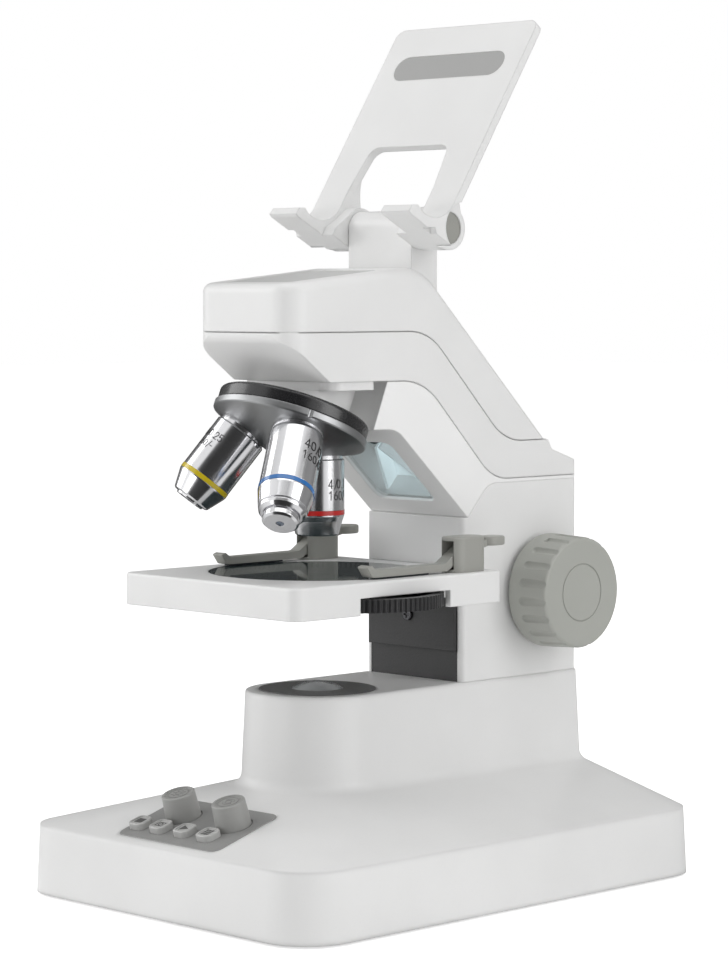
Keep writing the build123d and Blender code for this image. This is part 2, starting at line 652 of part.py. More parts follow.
for nm, s in (("clip_spring_left", -1), ("clip_spring_right", 1)):
    with BuildPart() as spring:
        with BuildLine():
            Helix(pitch=1.3, height=5.2, radius=1.9, center=(42 * s, 19.6, 130.3))
        with BuildSketch(Plane(origin=(42 * s + 1.9, 19.6, 130.3), x_dir=(1, 0, 0), z_dir=(0, 1, 0.12))):
            Circle(0.35)
        sweep(is_frenet=True)
    save(spring, nm)

# ---------------------------------------------------------------- arm: lower shell, top cover, throat
def footprint(y1):
    return ((-body_x, -68.9, 10), (body_x, -68.9, 10), (body_x, y1, 4), (-body_x, y1, 4))


upper_seam = ((-80, 223.8), (7.5, 223.8, 25), (52.0, 178.4, 25), (120, 178.4))
lower_seam = ((-80, 204.2), (4.7, 204.2, 28), (44.95, 163.1, 22), (120, 163.1))

with BuildPart() as arm_lower_shell:
    with BuildSketch(Plane.YZ.offset(-body_x)):
        with BuildLine():
            outline((-68.9, 223.8), (-68.9, 220.5, 4), (-47.0, 204.2, 3), (4.7, 204.2, 28), (44.95, 163.1, 22), (rear_y, 163.1),
                    (rear_y, 168.4, 4), (80.6, 174.0, 2), (77.9, 178.4), (52.0, 178.4, 25), (7.5, 223.8, 25))
        make_face()
    extrude(amount=2 * body_x)
    with BuildSketch(Plane.XY.offset(150)):
        with BuildLine():
            outline(*footprint(rear_y))
        make_face()
    extrude(amount=120, mode=Mode.INTERSECT)
    with BuildSketch(Plane.YZ.offset(-body_x + 2.4)):
        with BuildLine():
            outline((-62.5, 260), (-62.5, 218.9), (-46.0, 206.6), (3.7, 206.6, 25), (44.0, 165.5, 20), (94.6, 165.5),
                    (94.6, 166.8), (79.2, 171.8), (75.6, 177.4), (75.6, 260))
        make_face()
    extrude(amount=2 * (body_x - 2.4), mode=Mode.SUBTRACT)
    with Locations((0, opt_y, 200)):
        Cylinder(8.5, 10, align=(Align.CENTER, Align.CENTER, Align.MIN), mode=Mode.SUBTRACT)
    # shadow gap round the upper seam
    with BuildSketch(Plane.YZ.offset(-40)):
        with BuildLine():
            outline((-90, 223.4), (7.3, 223.4, 25), (51.8, 178.0, 25), (120, 178.0), (120, 178.9), (52.2, 178.9, 25), (7.6, 224.3, 25), (-90, 224.3))
        make_face()
    extrude(amount=40 - body_x + 1.0, mode=Mode.SUBTRACT)
    with BuildSketch(Plane.YZ.offset(body_x - 1.0)):
        with BuildLine():
            outline((-90, 223.4), (7.3, 223.4, 25), (51.8, 178.0, 25), (120, 178.0), (120, 178.9), (52.2, 178.9, 25), (7.6, 224.3, 25), (-90, 224.3))
        make_face()
    extrude(amount=14, mode=Mode.SUBTRACT)
    with Locations((0, -68.4, 223.6)):
        Box(70, 1.0, 0.4, mode=Mode.SUBTRACT)
save(arm_lower_shell, "arm_lower_shell")

top_ang = math.atan2(249.6 - 242.3, 4.3 + 68.9)
top_plane = Plane(origin=(0, -37.0, 242.3 + (68.9 - 37.0) * math.tan(top_ang)), x_dir=(1, 0, 0),
                  z_dir=(0, -math.sin(top_ang), math.cos(top_ang)))

with BuildPart() as arm_top_cover:
    with BuildSketch(Plane.YZ.offset(-body_x)):
        with BuildLine():
            outline((-68.9, 223.8), (7.5, 223.8, 25), (52.0, 178.4, 25), (77.9, 178.4), (4.3, 249.6, 22), (-68.9, 242.3, 4))
        make_face()
    extrude(amount=2 * body_x)
    with BuildSketch(Plane.XY.offset(150)):
        with BuildLine():
            outline(*footprint(rear_y))
        make_face()
    extrude(amount=120, mode=Mode.INTERSECT)
    rim = arm_top_cover.edges().filter_by(lambda e: (e.center().Z > 224.5 or (e.center().Y > 20 and e.center().Z > 205 and e.length > 60))
                                          and abs(e.center().X) > 15 and not (abs(e.tangent_at(0.5).Z) > 0.99))
    try:
        fillet(rim, radius=3.6)
    except Exception:
        try:
            fillet(rim, radius=2.5)
        except Exception:
            print("top cover edge left sharp")
    with BuildSketch(Plane.YZ.offset(-body_x + 2.4)):
        with BuildLine():
            outline((-62.5, 170), (-62.5, 240.1), (2.66, 246.6, 19), (74.2, 178.0), (74.2, 170))
        make_face()
    extrude(amount=2 * (body_x - 2.4), mode=Mode.SUBTRACT)
    with Locations((0, 14.65, 240)):
        Box(36.0, 14.7, 60, mode=Mode.SUBTRACT)
    with BuildSketch(top_plane.offset(-0.8)):
        RectangleRounded(40, 48, 3)
    extrude(amount=4, mode=Mode.SUBTRACT)
save(arm_top_cover, "arm_top_cover")

with BuildPart() as top_inset_panel:
    with BuildSketch(top_plane.offset(-0.8)):
        RectangleRounded(40, 48, 3)
    extrude(amount=0.6)
save(top_inset_panel, "top_inset_panel")

throat_t = ((-10.4 - 29.8), (185.0 - 148.15))
throat_l = math.hypot(*throat_t)
throat_dir = (-throat_t[0] / throat_l, -throat_t[1] / throat_l)          # down the slanted face, in (y, z)
face_plane = Plane(origin=(0, -10.4, 185.0), x_dir=(1, 0, 0), z_dir=(0, throat_dir[1], -throat_dir[0]))
# local y of face_plane runs z_dir x x_dir; the distance down the face is fsign * local y
fsign = 1 if face_plane.y_dir.Y * throat_dir[0] + face_plane.y_dir.Z * throat_dir[1] > 0 else -1

with BuildPart() as throat_cover:
    with BuildSketch(Plane.YZ.offset(-body_x)):
        with BuildLine():
            outline((-20.9, 204.2), (4.7, 204.2, 28), (44.95, 163.1, 22), (rear_y, 163.1), (rear_y, 161.3), (42.3, 161.3, 10),
                    (30.33, 148.15), (29.8, 148.15), (-10.4, 185.0, 12), (-25.6, 185.2))
        make_face()
    extrude(amount=2 * body_x)
    with BuildSketch(Plane.XY.offset(140)):
        with BuildLine():
            outline(*footprint(rear_y))
        make_face()
    extrude(amount=120, mode=Mode.INTERSECT)
    # scoop that follows the turret
    with BuildSketch(turret_plane(5)):
        Circle(33.0)
    extrude(amount=40, mode=Mode.SUBTRACT)
    # hollow behind the slanted face, and the window in it
    with BuildSketch(face_plane.offset(-13)):
        with Locations((0, fsign * 27.3)):
            RectangleRounded(33.6, 36.8, 4)
    extrude(amount=20, mode=Mode.SUBTRACT)
    # shadow gaps along both seams
    for x0 in (-40, body_x - 1.0):
        with BuildSketch(Plane.YZ.offset(x0)):
            with BuildLine():
                outline((-90, 203.8), (4.5, 203.8, 28), (44.75, 162.7, 22), (120, 162.7), (120, 163.4), (45.1, 163.4, 22), (4.85, 204.5, 28), (-90, 204.5))
            make_face()
        extrude(amount=13.3, mode=Mode.SUBTRACT)
    with Locations((0, rear_y, 162.9)):
        Box(70, 2.0, 0.4, mode=Mode.SUBTRACT)
save(throat_cover, "throat_cover")

with BuildPart() as window_pane:
    with BuildSketch(face_plane.offset(-2.6)):
        with Locations((0, fsign * 27.3)):
            RectangleRounded(33.6, 36.8, 4)
    extrude(amount=1.2)
save(window_pane, "window_pane")

with BuildPart() as light_reflector:
    with BuildSketch(face_plane.offset(-13)):
        with BuildLine():
            outline((-1.5, fsign * 18.0), (1.5, fsign * 18.0), (14.5, fsign * 44.6), (-14.5, fsign * 44.6))
        make_face()
    extrude(amount=1.2)
    with BuildSketch(face_plane.offset(-11.8)):
        with BuildLine():
            outline((-1.5, fsign * 18.0), (-0.3, fsign * 18.0), (-12.9, fsign * 44.6), (-14.5, fsign * 44.6))
        make_face()
        with BuildLine():
            outline((1.5, fsign * 18.0), (0.3, fsign * 18.0), (12.9, fsign * 44.6), (14.5, fsign * 44.6))
        make_face()
    extrude(amount=7.5)
save(light_reflector, "light_reflector")

with BuildPart(face_plane) as incident_led:
    with Locations((0, fsign * 14.0, -13)):
        Cylinder(3.6, 5.0, align=(Align.CENTER, Align.CENTER, Align.MIN))
    with Locations((0, fsign * 14.0, -8.0)):
        Cylinder(2.7, 1.5, align=(Align.CENTER, Align.CENTER, Align.MIN))
    with Locations((0, fsign * 14.0, -6.5)):
        Sphere(2.7)
save(incident_led, "incident_led")

with BuildPart() as camera_module:
    with Locations((0, opt_y, 206.6)):
        Cylinder(13, 28, align=(Align.CENTER, Align.CENTER, Align.MIN))
    with Locations((0, opt_y, 206)):
        Cylinder(10, 28.6, align=(Align.CENTER, Align.CENTER, Align.MIN), mode=Mode.SUBTRACT)
    with Locations((0, opt_y, 234.6)):
        Box(36, 36, 1.6, align=(Align.CENTER, Align.CENTER, Align.MIN))
    with Locations((0, opt_y, 234.6)):
        Box(12, 12, 1.2, align=(Align.CENTER, Align.CENTER, Align.MAX))
    with Locations((10, opt_y + 12, 236.2)):
        Box(10, 5, 3, align=(Align.CENTER, Align.CENTER, Align.MIN))
save(camera_module, "camera_module")

# ---------------------------------------------------------------- nosepiece
with BuildPart() as nosepiece_mount:
    with BuildSketch(turret_plane(12)):
        Circle(21)
    extrude(amount=19.4)
    with Locations((0, opt_y, 200.8)):
        Box(120, 120, 60, align=(Align.CENTER, Align.CENTER, Align.MIN), mode=Mode.SUBTRACT)
    with BuildSketch(Plane.XY.offset(200.8)):
        with BuildLine():
            outline((-26.6, -45.5, 8), (26.6, -45.5, 8), (26.6, -21.2, 2), (-26.6, -21.2, 2))
        make_face()
    extrude(amount=3.4)
    with Locations((0, opt_y, 150)):
        Cylinder(8, 60, align=(Align.CENTER, Align.CENTER, Align.MIN), mode=Mode.SUBTRACT)
    with BuildSketch(turret_plane(24)):
        Circle(3.0)
    extrude(amount=12, mode=Mode.SUBTRACT)
save(nosepiece_mount, "nosepiece_mount")

with BuildPart() as nosepiece_ring:
    with BuildSketch(turret_plane(31.4)):
        Circle(30.4)
    extrude(amount=5.5)
    fillet(nosepiece_ring.edges().sort_by_distance(along(p0, W, 31.4))[0:1] if False else nosepiece_ring.edges().filter_by(lambda e: abs((e.center() - Vector(*p0)).dot(Vector(*W)) - 31.4) < 0.01), radius=1.6)
    with Locations((0, opt_y, 150)):
        Cylinder(8, 60, align=(Align.CENTER, Align.CENTER, Align.MIN), mode=Mode.SUBTRACT)
    with BuildSketch(turret_plane(30)):
        Circle(3.0)
    extrude(amount=10, mode=Mode.SUBTRACT)
save(nosepiece_ring, "nosepiece_ring")

with BuildPart() as turret_disc:
    with BuildSketch(Plane(origin=p0, x_dir=(1, 0, 0), z_dir=(0, -ca, sa))):
        with BuildLine():
            Polyline((0, -37.2), (30.9, -37.2), (31.2, -37.5), (31.2, -39.7), (30.8, -40.2), (6.5, -50.6), (0, -50.6), close=True)
        make_face()
    revolve(axis=Axis(p0, W), revolution_arc=360)
    for deg in (0, 120, 240):
        with BuildSketch(objective_plane(deg).offset(44.4)):
            Circle(10.16)
        extrude(amount=12, mode=Mode.SUBTRACT)
        with BuildSketch(objective_plane(deg).offset(30)):
            Circle(8.0)
        extrude(amount=20, mode=Mode.SUBTRACT)
    with BuildSketch(turret_plane(30)):
        Circle(3.0 + run)
    extrude(amount=30, mode=Mode.SUBTRACT)
    # click-stop grooves in the rim, one for each objective
    with BuildSketch(turret_plane(30)):
        for deg in (0, 120, 240):
            a = math.radians(deg)
            with Locations((31.6 * math.sin(a), 31.6 * math.cos(a) * (1 if turret_plane(0).y_dir.dot(Vector(*U)) > 0 else -1))):
                Circle(1.1)
    extrude(amount=14, mode=Mode.SUBTRACT)
save(turret_disc, "turret_disc")

with BuildPart(turret_plane(0)) as turret_pivot:
    with Locations((0, 0, 24)):
        Cylinder(3.0, 26.9, align=(Align.CENTER, Align.CENTER, Align.MIN))
    with Locations((0, 0, 50.8)):
        Cylinder(6.0, 1.8, align=(Align.CENTER, Align.CENTER, Align.MIN))
    with Locations((0, 0, 52.6)):
        Box(9, 1.0, 1.4, mode=Mode.SUBTRACT)
save(turret_pivot, "turret_pivot")


def stack(rows):
    """Revolved sections along +Z of the current workplane: (z0, z1, r0, r1)."""
    for z0, z1, r0, r1 in rows:
        with Locations((0, 0, z0)):
            if abs(r0 - r1) < 1e-6:
                Cylinder(r0, z1 - z0, align=(Align.CENTER, Align.CENTER, Align.MIN))
            else:
                Cone(r0, r1, z1 - z0, align=(Align.CENTER, Align.CENTER, Align.MIN))


objectives = {
    # name: (angle about the turret axis, body sections, colour ring z0, bore radius at the tip, tip z)
    "objective_4x": (0, [(44.5, 49.55, 10.16, 10.16), (49.55, 50.0, 10.4, 10.85), (50.0, 69.9, barrel_r, barrel_r), (69.9, 71.7, 10.4, 10.4),
                         (71.7, 72.2, 10.85, 10.85), (72.2, 74.2, 10.85, 10.1), (74.2, 79.5, 10.1, 8.7), (79.5, 80.0, 8.7, 8.1)], 69.9, 6.0, 80.0),
    "objective_10x": (240, [(44.5, 49.55, 10.16, 10.16), (49.55, 50.0, 10.4, 10.85), (50.0, 72.4, barrel_r, barrel_r), (72.4, 74.2, 10.4, 10.4),
                            (74.2, 74.8, 10.85, 10.85), (74.8, 82.0, 10.85, 8.1), (82.0, 82.5, 8.1, 7.5), (82.5, 83.3, 6.2, 6.0)], 72.4, 3.6, 83.3),
    "objective_40x": (120, [(44.5, 49.35, 10.16, 10.16), (49.35, 50.3, 9.6, 10.3), (50.3, 51.6, 10.3, 10.75), (51.6, 75.4, 10.75, 10.85), (75.4, 77.2, 10.4, 10.4),
                            (77.2, 77.9, 10.85, 10.85), (77.9, 84.4, 10.85, 9.7), (84.4, 85.0, 9.2, 9.2), (85.0, 86.2, 9.5, 9.2), (86.2, 87.6, 9.2, 8.1),
                            (87.6, 88.2, 6.7, 6.7), (88.2, 90.2, 7.2, 7.2), (90.2, 91.0, 7.2, 6.3)], 75.4, 1.6, 91.0),
}
for nm, (deg, rows, rz, tip_r, tip_z) in objectives.items():
    with BuildPart(objective_plane(deg)) as obj:
        stack(rows)
        with Locations((0, 0, 44)):
            Cylinder(7.4, tip_z - 44 - 11, align=(Align.CENTER, Align.CENTER, Align.MIN), mode=Mode.SUBTRACT)
        with Locations((0, 0, tip_z - 12)):
            Cylinder(tip_r, 13, align=(Align.CENTER, Align.CENTER, Align.MIN), mode=Mode.SUBTRACT)
    save(obj, nm)

for nm, key in (("colour_ring_red", "objective_4x"), ("colour_ring_yellow", "objective_10x"), ("colour_ring_blue", "objective_40x")):
    deg, rows, rz, tip_r, tip_z = objectives[key]
    with BuildPart(objective_plane(deg)) as ring:
        with Locations((0, 0, rz)):
            Cylinder(10.98, 1.8, align=(Align.CENTER, Align.CENTER, Align.MIN))
            Cylinder(10.4, 1.8, align=(Align.CENTER, Align.CENTER, Align.MIN), mode=Mode.SUBTRACT)
    save(ring, nm)

with BuildPart() as objective_lenses:
    for key in objectives:
        deg, rows, rz, tip_r, tip_z = objectives[key]
        with BuildSketch(objective_plane(deg).offset(tip_z - 2.6)):
            Circle(tip_r)
        extrude(amount=2.0)
        with BuildSketch(objective_plane(deg).offset(52)):
            Circle(7.4)
        extrude(amount=3.0)
save(objective_lenses, "objective_lenses")

# ---------------------------------------------------------------- tilting device holder
with BuildPart() as holder_post:
    with BuildSketch(Plane.YZ.offset(-18)):
        with BuildLine():
            outline((7.3, 216), (22.0, 216), (22.0, 272.06, 7.34), (7.3, 272.06, 7.34))
        make_face()
    extrude(amount=36)
    with Locations((0, 14.0, 216)):
        Box(2 * (body_x - 2.4), 22, 3, align=(Align.CENTER, Align.CENTER, Align.MIN))
    with BuildSketch(Plane.YZ.offset(-30)):
        with Locations((14.65, hinge_z)):
            Circle(3.5)
    extrude(amount=60, mode=Mode.SUBTRACT)
    with Locations((0, 14.65, 200)):
        Box(28, 8.5, 55, align=(Align.CENTER, Align.CENTER, Align.MIN), mode=Mode.SUBTRACT)
save(holder_post, "holder_post")

hinge_y = 14.65
td = (0.5495, 0.8355)                              # up the holder plate, in (y, z)
tn = (0.8355, -0.5495)                             # to its back
f0 = (10.2, 276.2)                                 # a point on its front face


def fp(s, d=0.0):
    return (f0[0] + td[0] * s + tn[0] * d, f0[1] + td[1] * s + tn[1] * d)


s_top = (349.8 - f0[1]) / td[1]
plate_t = 3.4
holder_plane = Plane(origin=(0, f0[0], f0[1]), x_dir=(-1, 0, 0), z_dir=(0, tn[0], tn[1]))

with BuildPart() as holder_plate:
    # main plate with its cut-out between two legs
    with BuildSketch(holder_plane):
        with BuildLine():
            outline((-plate_hx, 6), (-24.3, 6), (-21.8, 27.0, 5), (21.8, 27.0, 5), (24.3, 6), (plate_hx, 6), (plate_hx, s_top, 4.5), (-plate_hx, s_top, 4.5))
        make_face()
    extrude(amount=plate_t)
    # feet: curved slab, lip and slanted web
    for x0 in (-plate_hx, 24.3):
        with BuildSketch(Plane.YZ.offset(x0)):
            with BuildLine():
                Line(fp(6.5), fp(-1.5))
                ThreePointArc(fp(-1.5), (-1.6, 268.5), (-9.6, 271.4))
                Line((-9.6, 271.4), (-11.2, 273.4))
                Line((-11.2, 273.4), (-14.2, 273.4))
                Line((-14.2, 273.4), (-16.3, 270.9))
                Line((-16.3, 270.9), (-15.2, 269.7))
                Line((-15.2, 269.7), (8.6, 256.9))
                Line((8.6, 256.9), (14.65, 255.95))
                Line((14.65, 255.95), (23.0, 262.0))
                Line((23.0, 262.0), fp(6.5, plate_t))
                Line(fp(6.5, plate_t), fp(6.5))
            make_face()
        extrude(amount=plate_hx - 24.3)
    # triangular pockets in the outer sides of the webs
    for x0, a in ((plate_hx - 3.0, 5), (-plate_hx + 3.0, -5)):
        with BuildSketch(Plane.YZ.offset(x0)):
            with BuildLine():
                outline((-8.6, 264.6, 0.4), (-1.6, 264.6, 0.4), (-0.6, 260.6, 0.4))
            make_face()
        extrude(amount=a, mode=Mode.SUBTRACT)
    # knuckles beside the post
    for x0 in (-32.3, 18.3):
        with BuildSketch(Plane.YZ.offset(x0)):
            with Locations((hinge_y, hinge_z)):
                Circle(8.8)
        extrude(amount=14.0)
        with BuildSketch(Plane.YZ.offset(x0)):
            with BuildLine():
                outline((8.6, 256.9), (-1.5, 262.4), (0.5, 265.6), (5.2, 268.6), (9.4, 271.7), (14.65, 264.7), (14.65, 256.0))
            make_face()
        extrude(amount=14.0)
    # webs that thicken each leg towards its knuckle
    for x0 in (-32.3, 24.3):
        with BuildSketch(Plane.YZ.offset(x0)):
            with BuildLine():
                Line(fp(-1.0, 0.5), fp(24.0, plate_t - 0.1))
                ThreePointArc(fp(24.0, plate_t - 0.1), (20.0, 279.8), (23.2, 266.2))
                Line((23.2, 266.2), (14.65, 262.0))
                Line((14.65, 262.0), fp(-1.0, 0.5))
            make_face()
        extrude(amount=8.0)
    # outboard of the knuckle the foot is cut away round the end cap
    with BuildSketch(Plane.YZ.offset(32.3)):
        with Locations((hinge_y, hinge_z)):
            Circle(10.2)
        with BuildLine():
            outline((8.9, 257), (8.9, 245), (40, 245), (40, 290), fp(12.0, plate_t), fp(-1.0, plate_t), (8.0, 266.5))
        make_face()
    extrude(amount=12, mode=Mode.SUBTRACT)
    with BuildSketch(Plane.YZ.offset(-32.3)):
        with Locations((hinge_y, hinge_z)):
            Circle(10.2)
        with BuildLine():
            outline((8.9, 257), (8.9, 245), (40, 245), (40, 290), fp(12.0, plate_t), fp(-1.0, plate_t), (8.0, 266.5))
        make_face()
    extrude(amount=-12, mode=Mode.SUBTRACT)
    # room for the post between the knuckles, pin bore and cap seats
    with BuildSketch(Plane.YZ.offset(-18.3)):
        with Locations((hinge_y, hinge_z)):
            Circle(9.2)
    extrude(amount=36.6, mode=Mode.SUBTRACT)
    with BuildSketch(Plane.YZ.offset(-34)):
        with Locations((hinge_y, hinge_z)):
            Circle(3.5)
    extrude(amount=68, mode=Mode.SUBTRACT)
    for x0, a in ((31.1, 3), (-31.1, -3)):
        with BuildSketch(Plane.YZ.offset(x0)):
            with Locations((hinge_y, hinge_z)):
                Circle(6.5)
        extrude(amount=a, mode=Mode.SUBTRACT)
    # seat for the soft pad
    with BuildSketch(holder_plane):
        with Locations((0, 67.3)):
            SlotOverall(62, 12.2)
    extrude(amount=0.8, mode=Mode.SUBTRACT)
save(holder_plate, "holder_plate")

with BuildPart() as holder_pad:
    with BuildSketch(holder_plane.offset(0.1)):
        with Locations((0, 67.3)):
            SlotOverall(62, 12.2)
    extrude(amount=0.7)
save(holder_pad, "holder_pad")

with BuildPart() as hinge_pin:
    with BuildSketch(Plane.YZ.offset(-30.5)):
        with Locations((hinge_y, hinge_z)):
            Circle(3.45)
    extrude(amount=61)
save(hinge_pin, "hinge_pin")

with BuildPart() as hinge_caps:
    for s in (-1, 1):
        with BuildSketch(Plane.YZ.offset(31.1 * s)):
            with Locations((hinge_y, hinge_z)):
                Circle(6.5)
        extrude(amount=0.6 * s)
save(hinge_caps, "hinge_caps")
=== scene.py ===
import json
import math
import bpy
import bmesh
from mathutils import Matrix, Vector


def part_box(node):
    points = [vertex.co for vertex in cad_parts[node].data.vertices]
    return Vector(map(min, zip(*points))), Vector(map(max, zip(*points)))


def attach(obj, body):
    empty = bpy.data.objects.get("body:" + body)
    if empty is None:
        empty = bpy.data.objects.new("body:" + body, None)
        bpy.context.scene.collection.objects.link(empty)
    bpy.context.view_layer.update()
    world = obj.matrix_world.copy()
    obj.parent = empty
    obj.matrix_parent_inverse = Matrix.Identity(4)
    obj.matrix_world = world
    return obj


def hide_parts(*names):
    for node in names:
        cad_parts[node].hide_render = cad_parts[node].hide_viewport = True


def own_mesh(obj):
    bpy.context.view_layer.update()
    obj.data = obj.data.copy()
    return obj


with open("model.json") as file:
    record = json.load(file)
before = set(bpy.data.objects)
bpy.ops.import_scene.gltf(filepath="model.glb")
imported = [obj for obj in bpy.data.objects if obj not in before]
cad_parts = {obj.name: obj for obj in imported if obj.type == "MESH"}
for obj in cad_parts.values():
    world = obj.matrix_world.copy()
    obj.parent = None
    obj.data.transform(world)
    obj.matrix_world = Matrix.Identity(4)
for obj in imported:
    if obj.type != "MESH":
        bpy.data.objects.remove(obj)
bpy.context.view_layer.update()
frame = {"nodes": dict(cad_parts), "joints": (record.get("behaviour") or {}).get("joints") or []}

NODES = frame["nodes"]
MM = 0.001


# ------------------------------------------------------------------ node helpers
class Mat:
    """A small wrapper round one procedural material."""

    def __init__(self, name, base, rough=0.45, metallic=0.0, **sock):
        self.m = bpy.data.materials.new(name)
        self.m.use_nodes = True
        self.t = self.m.node_tree
        self.t.nodes.clear()
        self.out = self.n("ShaderNodeOutputMaterial")
        self.b = self.n("ShaderNodeBsdfPrincipled")
        self.l(self.b.outputs[0], self.out.inputs[0])
        self.b.inputs["Base Color"].default_value = (*base, 1)
        self.b.inputs["Roughness"].default_value = rough
        self.b.inputs["Metallic"].default_value = metallic
        for k, v in sock.items():
            self.b.inputs[k.replace("_", " ")].default_value = v
        self.base, self.rough = base, rough
        self.tc = self.n("ShaderNodeTexCoord")
        self.co = self.tc.outputs["Object"]

    def n(self, kind, **kw):
        nd = self.t.nodes.new(kind)
        for k, v in kw.items():
            setattr(nd, k, v)
        return nd

    def l(self, a, b):
        self.t.links.new(a, b)

    def noise(self, scale, detail=3.0, rough=0.55, co=None, dims="3D"):
        nd = self.n("ShaderNodeTexNoise", noise_dimensions=dims)
        nd.inputs["Scale"].default_value = scale
        nd.inputs["Detail"].default_value = detail
        nd.inputs["Roughness"].default_value = rough
        if co is not None:
            self.l(co, nd.inputs["W" if dims == "1D" else "Vector"])
        else:
            self.l(self.co, nd.inputs["Vector"])
        return nd.outputs["Fac"]

    def math(self, op, a, b=None, c=None, clamp=False):
        nd = self.n("ShaderNodeMath", operation=op, use_clamp=clamp)
        for i, v in enumerate((a, b, c)):
            if v is None:
                continue
            if hasattr(v, "links"):
                self.l(v, nd.inputs[i])
            else:
                nd.inputs[i].default_value = v
        return nd.outputs[0]

    def ramp(self, fac, lo, hi, a=0.0, b=1.0):
        nd = self.n("ShaderNodeMapRange")
        nd.inputs["From Min"].default_value = lo
        nd.inputs["From Max"].default_value = hi
        nd.inputs["To Min"].default_value = a
        nd.inputs["To Max"].default_value = b
        self.l(fac, nd.inputs["Value"])
        return nd.outputs[0]

    def mix(self, fac, a, b):
        nd = self.n("ShaderNodeMix", data_type="RGBA")
        for s, v in ((0, fac), (6, a), (7, b)):
            if hasattr(v, "links"):
                self.l(v, nd.inputs[s])
            elif s == 0:
                nd.inputs[s].default_value = v
            else:
                nd.inputs[s].default_value = (*v, 1)
        return nd.outputs[2]

    def along(self, origin, axis):
        """Distance along an axis from a point, in metres."""
        sub = self.n("ShaderNodeVectorMath", operation="SUBTRACT")
        self.l(self.co, sub.inputs[0])
        sub.inputs[1].default_value = origin
        dot = self.n("ShaderNodeVectorMath", operation="DOT_PRODUCT")
        self.l(sub.outputs[0], dot.inputs[0])
        dot.inputs[1].default_value = axis
        return dot.outputs["Value"]

    def radius(self, origin, axis):
        """Distance from an axis, in metres."""
        sub = self.n("ShaderNodeVectorMath", operation="SUBTRACT")
        self.l(self.co, sub.inputs[0])
        sub.inputs[1].default_value = origin
        cr = self.n("ShaderNodeVectorMath", operation="CROSS_PRODUCT")
        self.l(sub.outputs[0], cr.inputs[0])
        cr.inputs[1].default_value = axis
        ln = self.n("ShaderNodeVectorMath", operation="LENGTH")
        self.l(cr.outputs[0], ln.inputs[0])
        return ln.outputs["Value"]

    def bevel(self, r):
        nd = self.n("ShaderNodeBevel", samples=6)
        nd.inputs["Radius"].default_value = r
        return nd.outputs[0]

    def bump(self, height, dist, strength=1.0, normal=None):
        nd = self.n("ShaderNodeBump")
        nd.inputs["Strength"].default_value = strength
        nd.inputs["Distance"].default_value = dist
        self.l(height, nd.inputs["Height"])
        if normal is not None:
            self.l(normal, nd.inputs["Normal"])
        return nd.outputs[0]

    def edge(self, r):
        """1 on convex or concave edges within r, 0 on flats."""
        geo = self.n("ShaderNodeNewGeometry")
        dot = self.n("ShaderNodeVectorMath", operation="DOT_PRODUCT")
        self.l(self.bevel(r), dot.inputs[0])
        self.l(geo.outputs["Normal"], dot.inputs[1])
        return self.ramp(dot.outputs["Value"], 1.0, 0.75)

    def col(self, s):
        self.l(s, self.b.inputs["Base Color"])
        return self

    def rgh(self, s):
        self.l(s, self.b.inputs["Roughness"])
        return self

    def nrm(self, s):
        self.l(s, self.b.inputs["Normal"])
        return self


def shade(c, k):
    return tuple(min(1.0, v * k) for v in c)


def plastic(name, base, rough=0.42, grain=0.00004, grain_scale=900, bevel=0.0006, edge_highlight=0.12, spots=0.03, **sock):
    m = Mat(name, base, rough, **sock)
    big = m.noise(14, 3)
    fine = m.noise(grain_scale, 2.5, 0.6)
    tone = m.mix(m.ramp(big, 0.35, 0.68), shade(base, 0.965), shade(base, 1.02))
    tone = m.mix(m.ramp(fine, 0.58, 0.75, 0, spots * 4), tone, shade(base, 0.86))
    # every edge, convex and concave, is painted lighter: a painted highlight along the edges
    tone = m.mix(m.math("MULTIPLY", m.edge(bevel * 1.4), edge_highlight), tone, shade(base, 1.22))
    m.col(tone)
    m.rgh(m.math("ADD", m.ramp(big, 0.3, 0.7, -0.05, 0.05), m.ramp(fine, 0.3, 0.7, rough - 0.04, rough + 0.05)))
    h = m.math("ADD", m.math("MULTIPLY", fine, 1.0), m.math("MULTIPLY", m.noise(grain_scale * 0.32, 2), 0.6))
    m.nrm(m.bump(h, grain, 0.6, m.bevel(bevel)))
    return m.m


def turned(name, base, origin, axis, rough=0.17, lines=9000, depth=0.000006, bevel=0.00035, var=0.05, **sock):
    """Metal turned on a lathe about an axis: fine rings along it, and a faint radial texture on its end faces."""
    m = Mat(name, base, rough, 1.0, **sock)
    t = m.along(origin, axis)
    r = m.radius(origin, axis)
    u = m.math("ADD", m.math("MULTIPLY", t, lines), m.math("MULTIPLY", r, lines * 1.3))
    rings = m.noise(1.0, 4, 0.7, co=u, dims="1D")
    cloud = m.noise(60, 4)
    m.col(m.mix(m.ramp(cloud, 0.35, 0.7), shade(base, 1 - var), shade(base, 1 + var * 0.5)))
    m.rgh(m.math("ADD", m.ramp(rings, 0.25, 0.75, rough - 0.06, rough + 0.07), m.ramp(cloud, 0.3, 0.7, -0.03, 0.03)))
    m.nrm(m.bump(rings, depth, 0.8, m.bevel(bevel)))
    return m.m


def metal(name, base, rough=0.3, scale=500, stretch=(1, 1, 1), depth=0.00002, bevel=0.0004, **sock):
    m = Mat(name, base, rough, 1.0, **sock)
    mp = m.n("ShaderNodeMapping")
    mp.inputs["Scale"].default_value = stretch
    m.l(m.co, mp.inputs["Vector"])
    f = m.noise(scale, 4, 0.65, co=mp.outputs[0])
    c = m.noise(45, 3)
    m.col(m.mix(m.ramp(c, 0.35, 0.7), shade(base, 0.93), shade(base, 1.04)))
    m.rgh(m.math("ADD", m.ramp(f, 0.25, 0.75, rough - 0.07, rough + 0.08), m.ramp(c, 0.3, 0.7, -0.03, 0.03)))
    m.nrm(m.bump(f, depth, 0.7, m.bevel(bevel)))
    return m.m


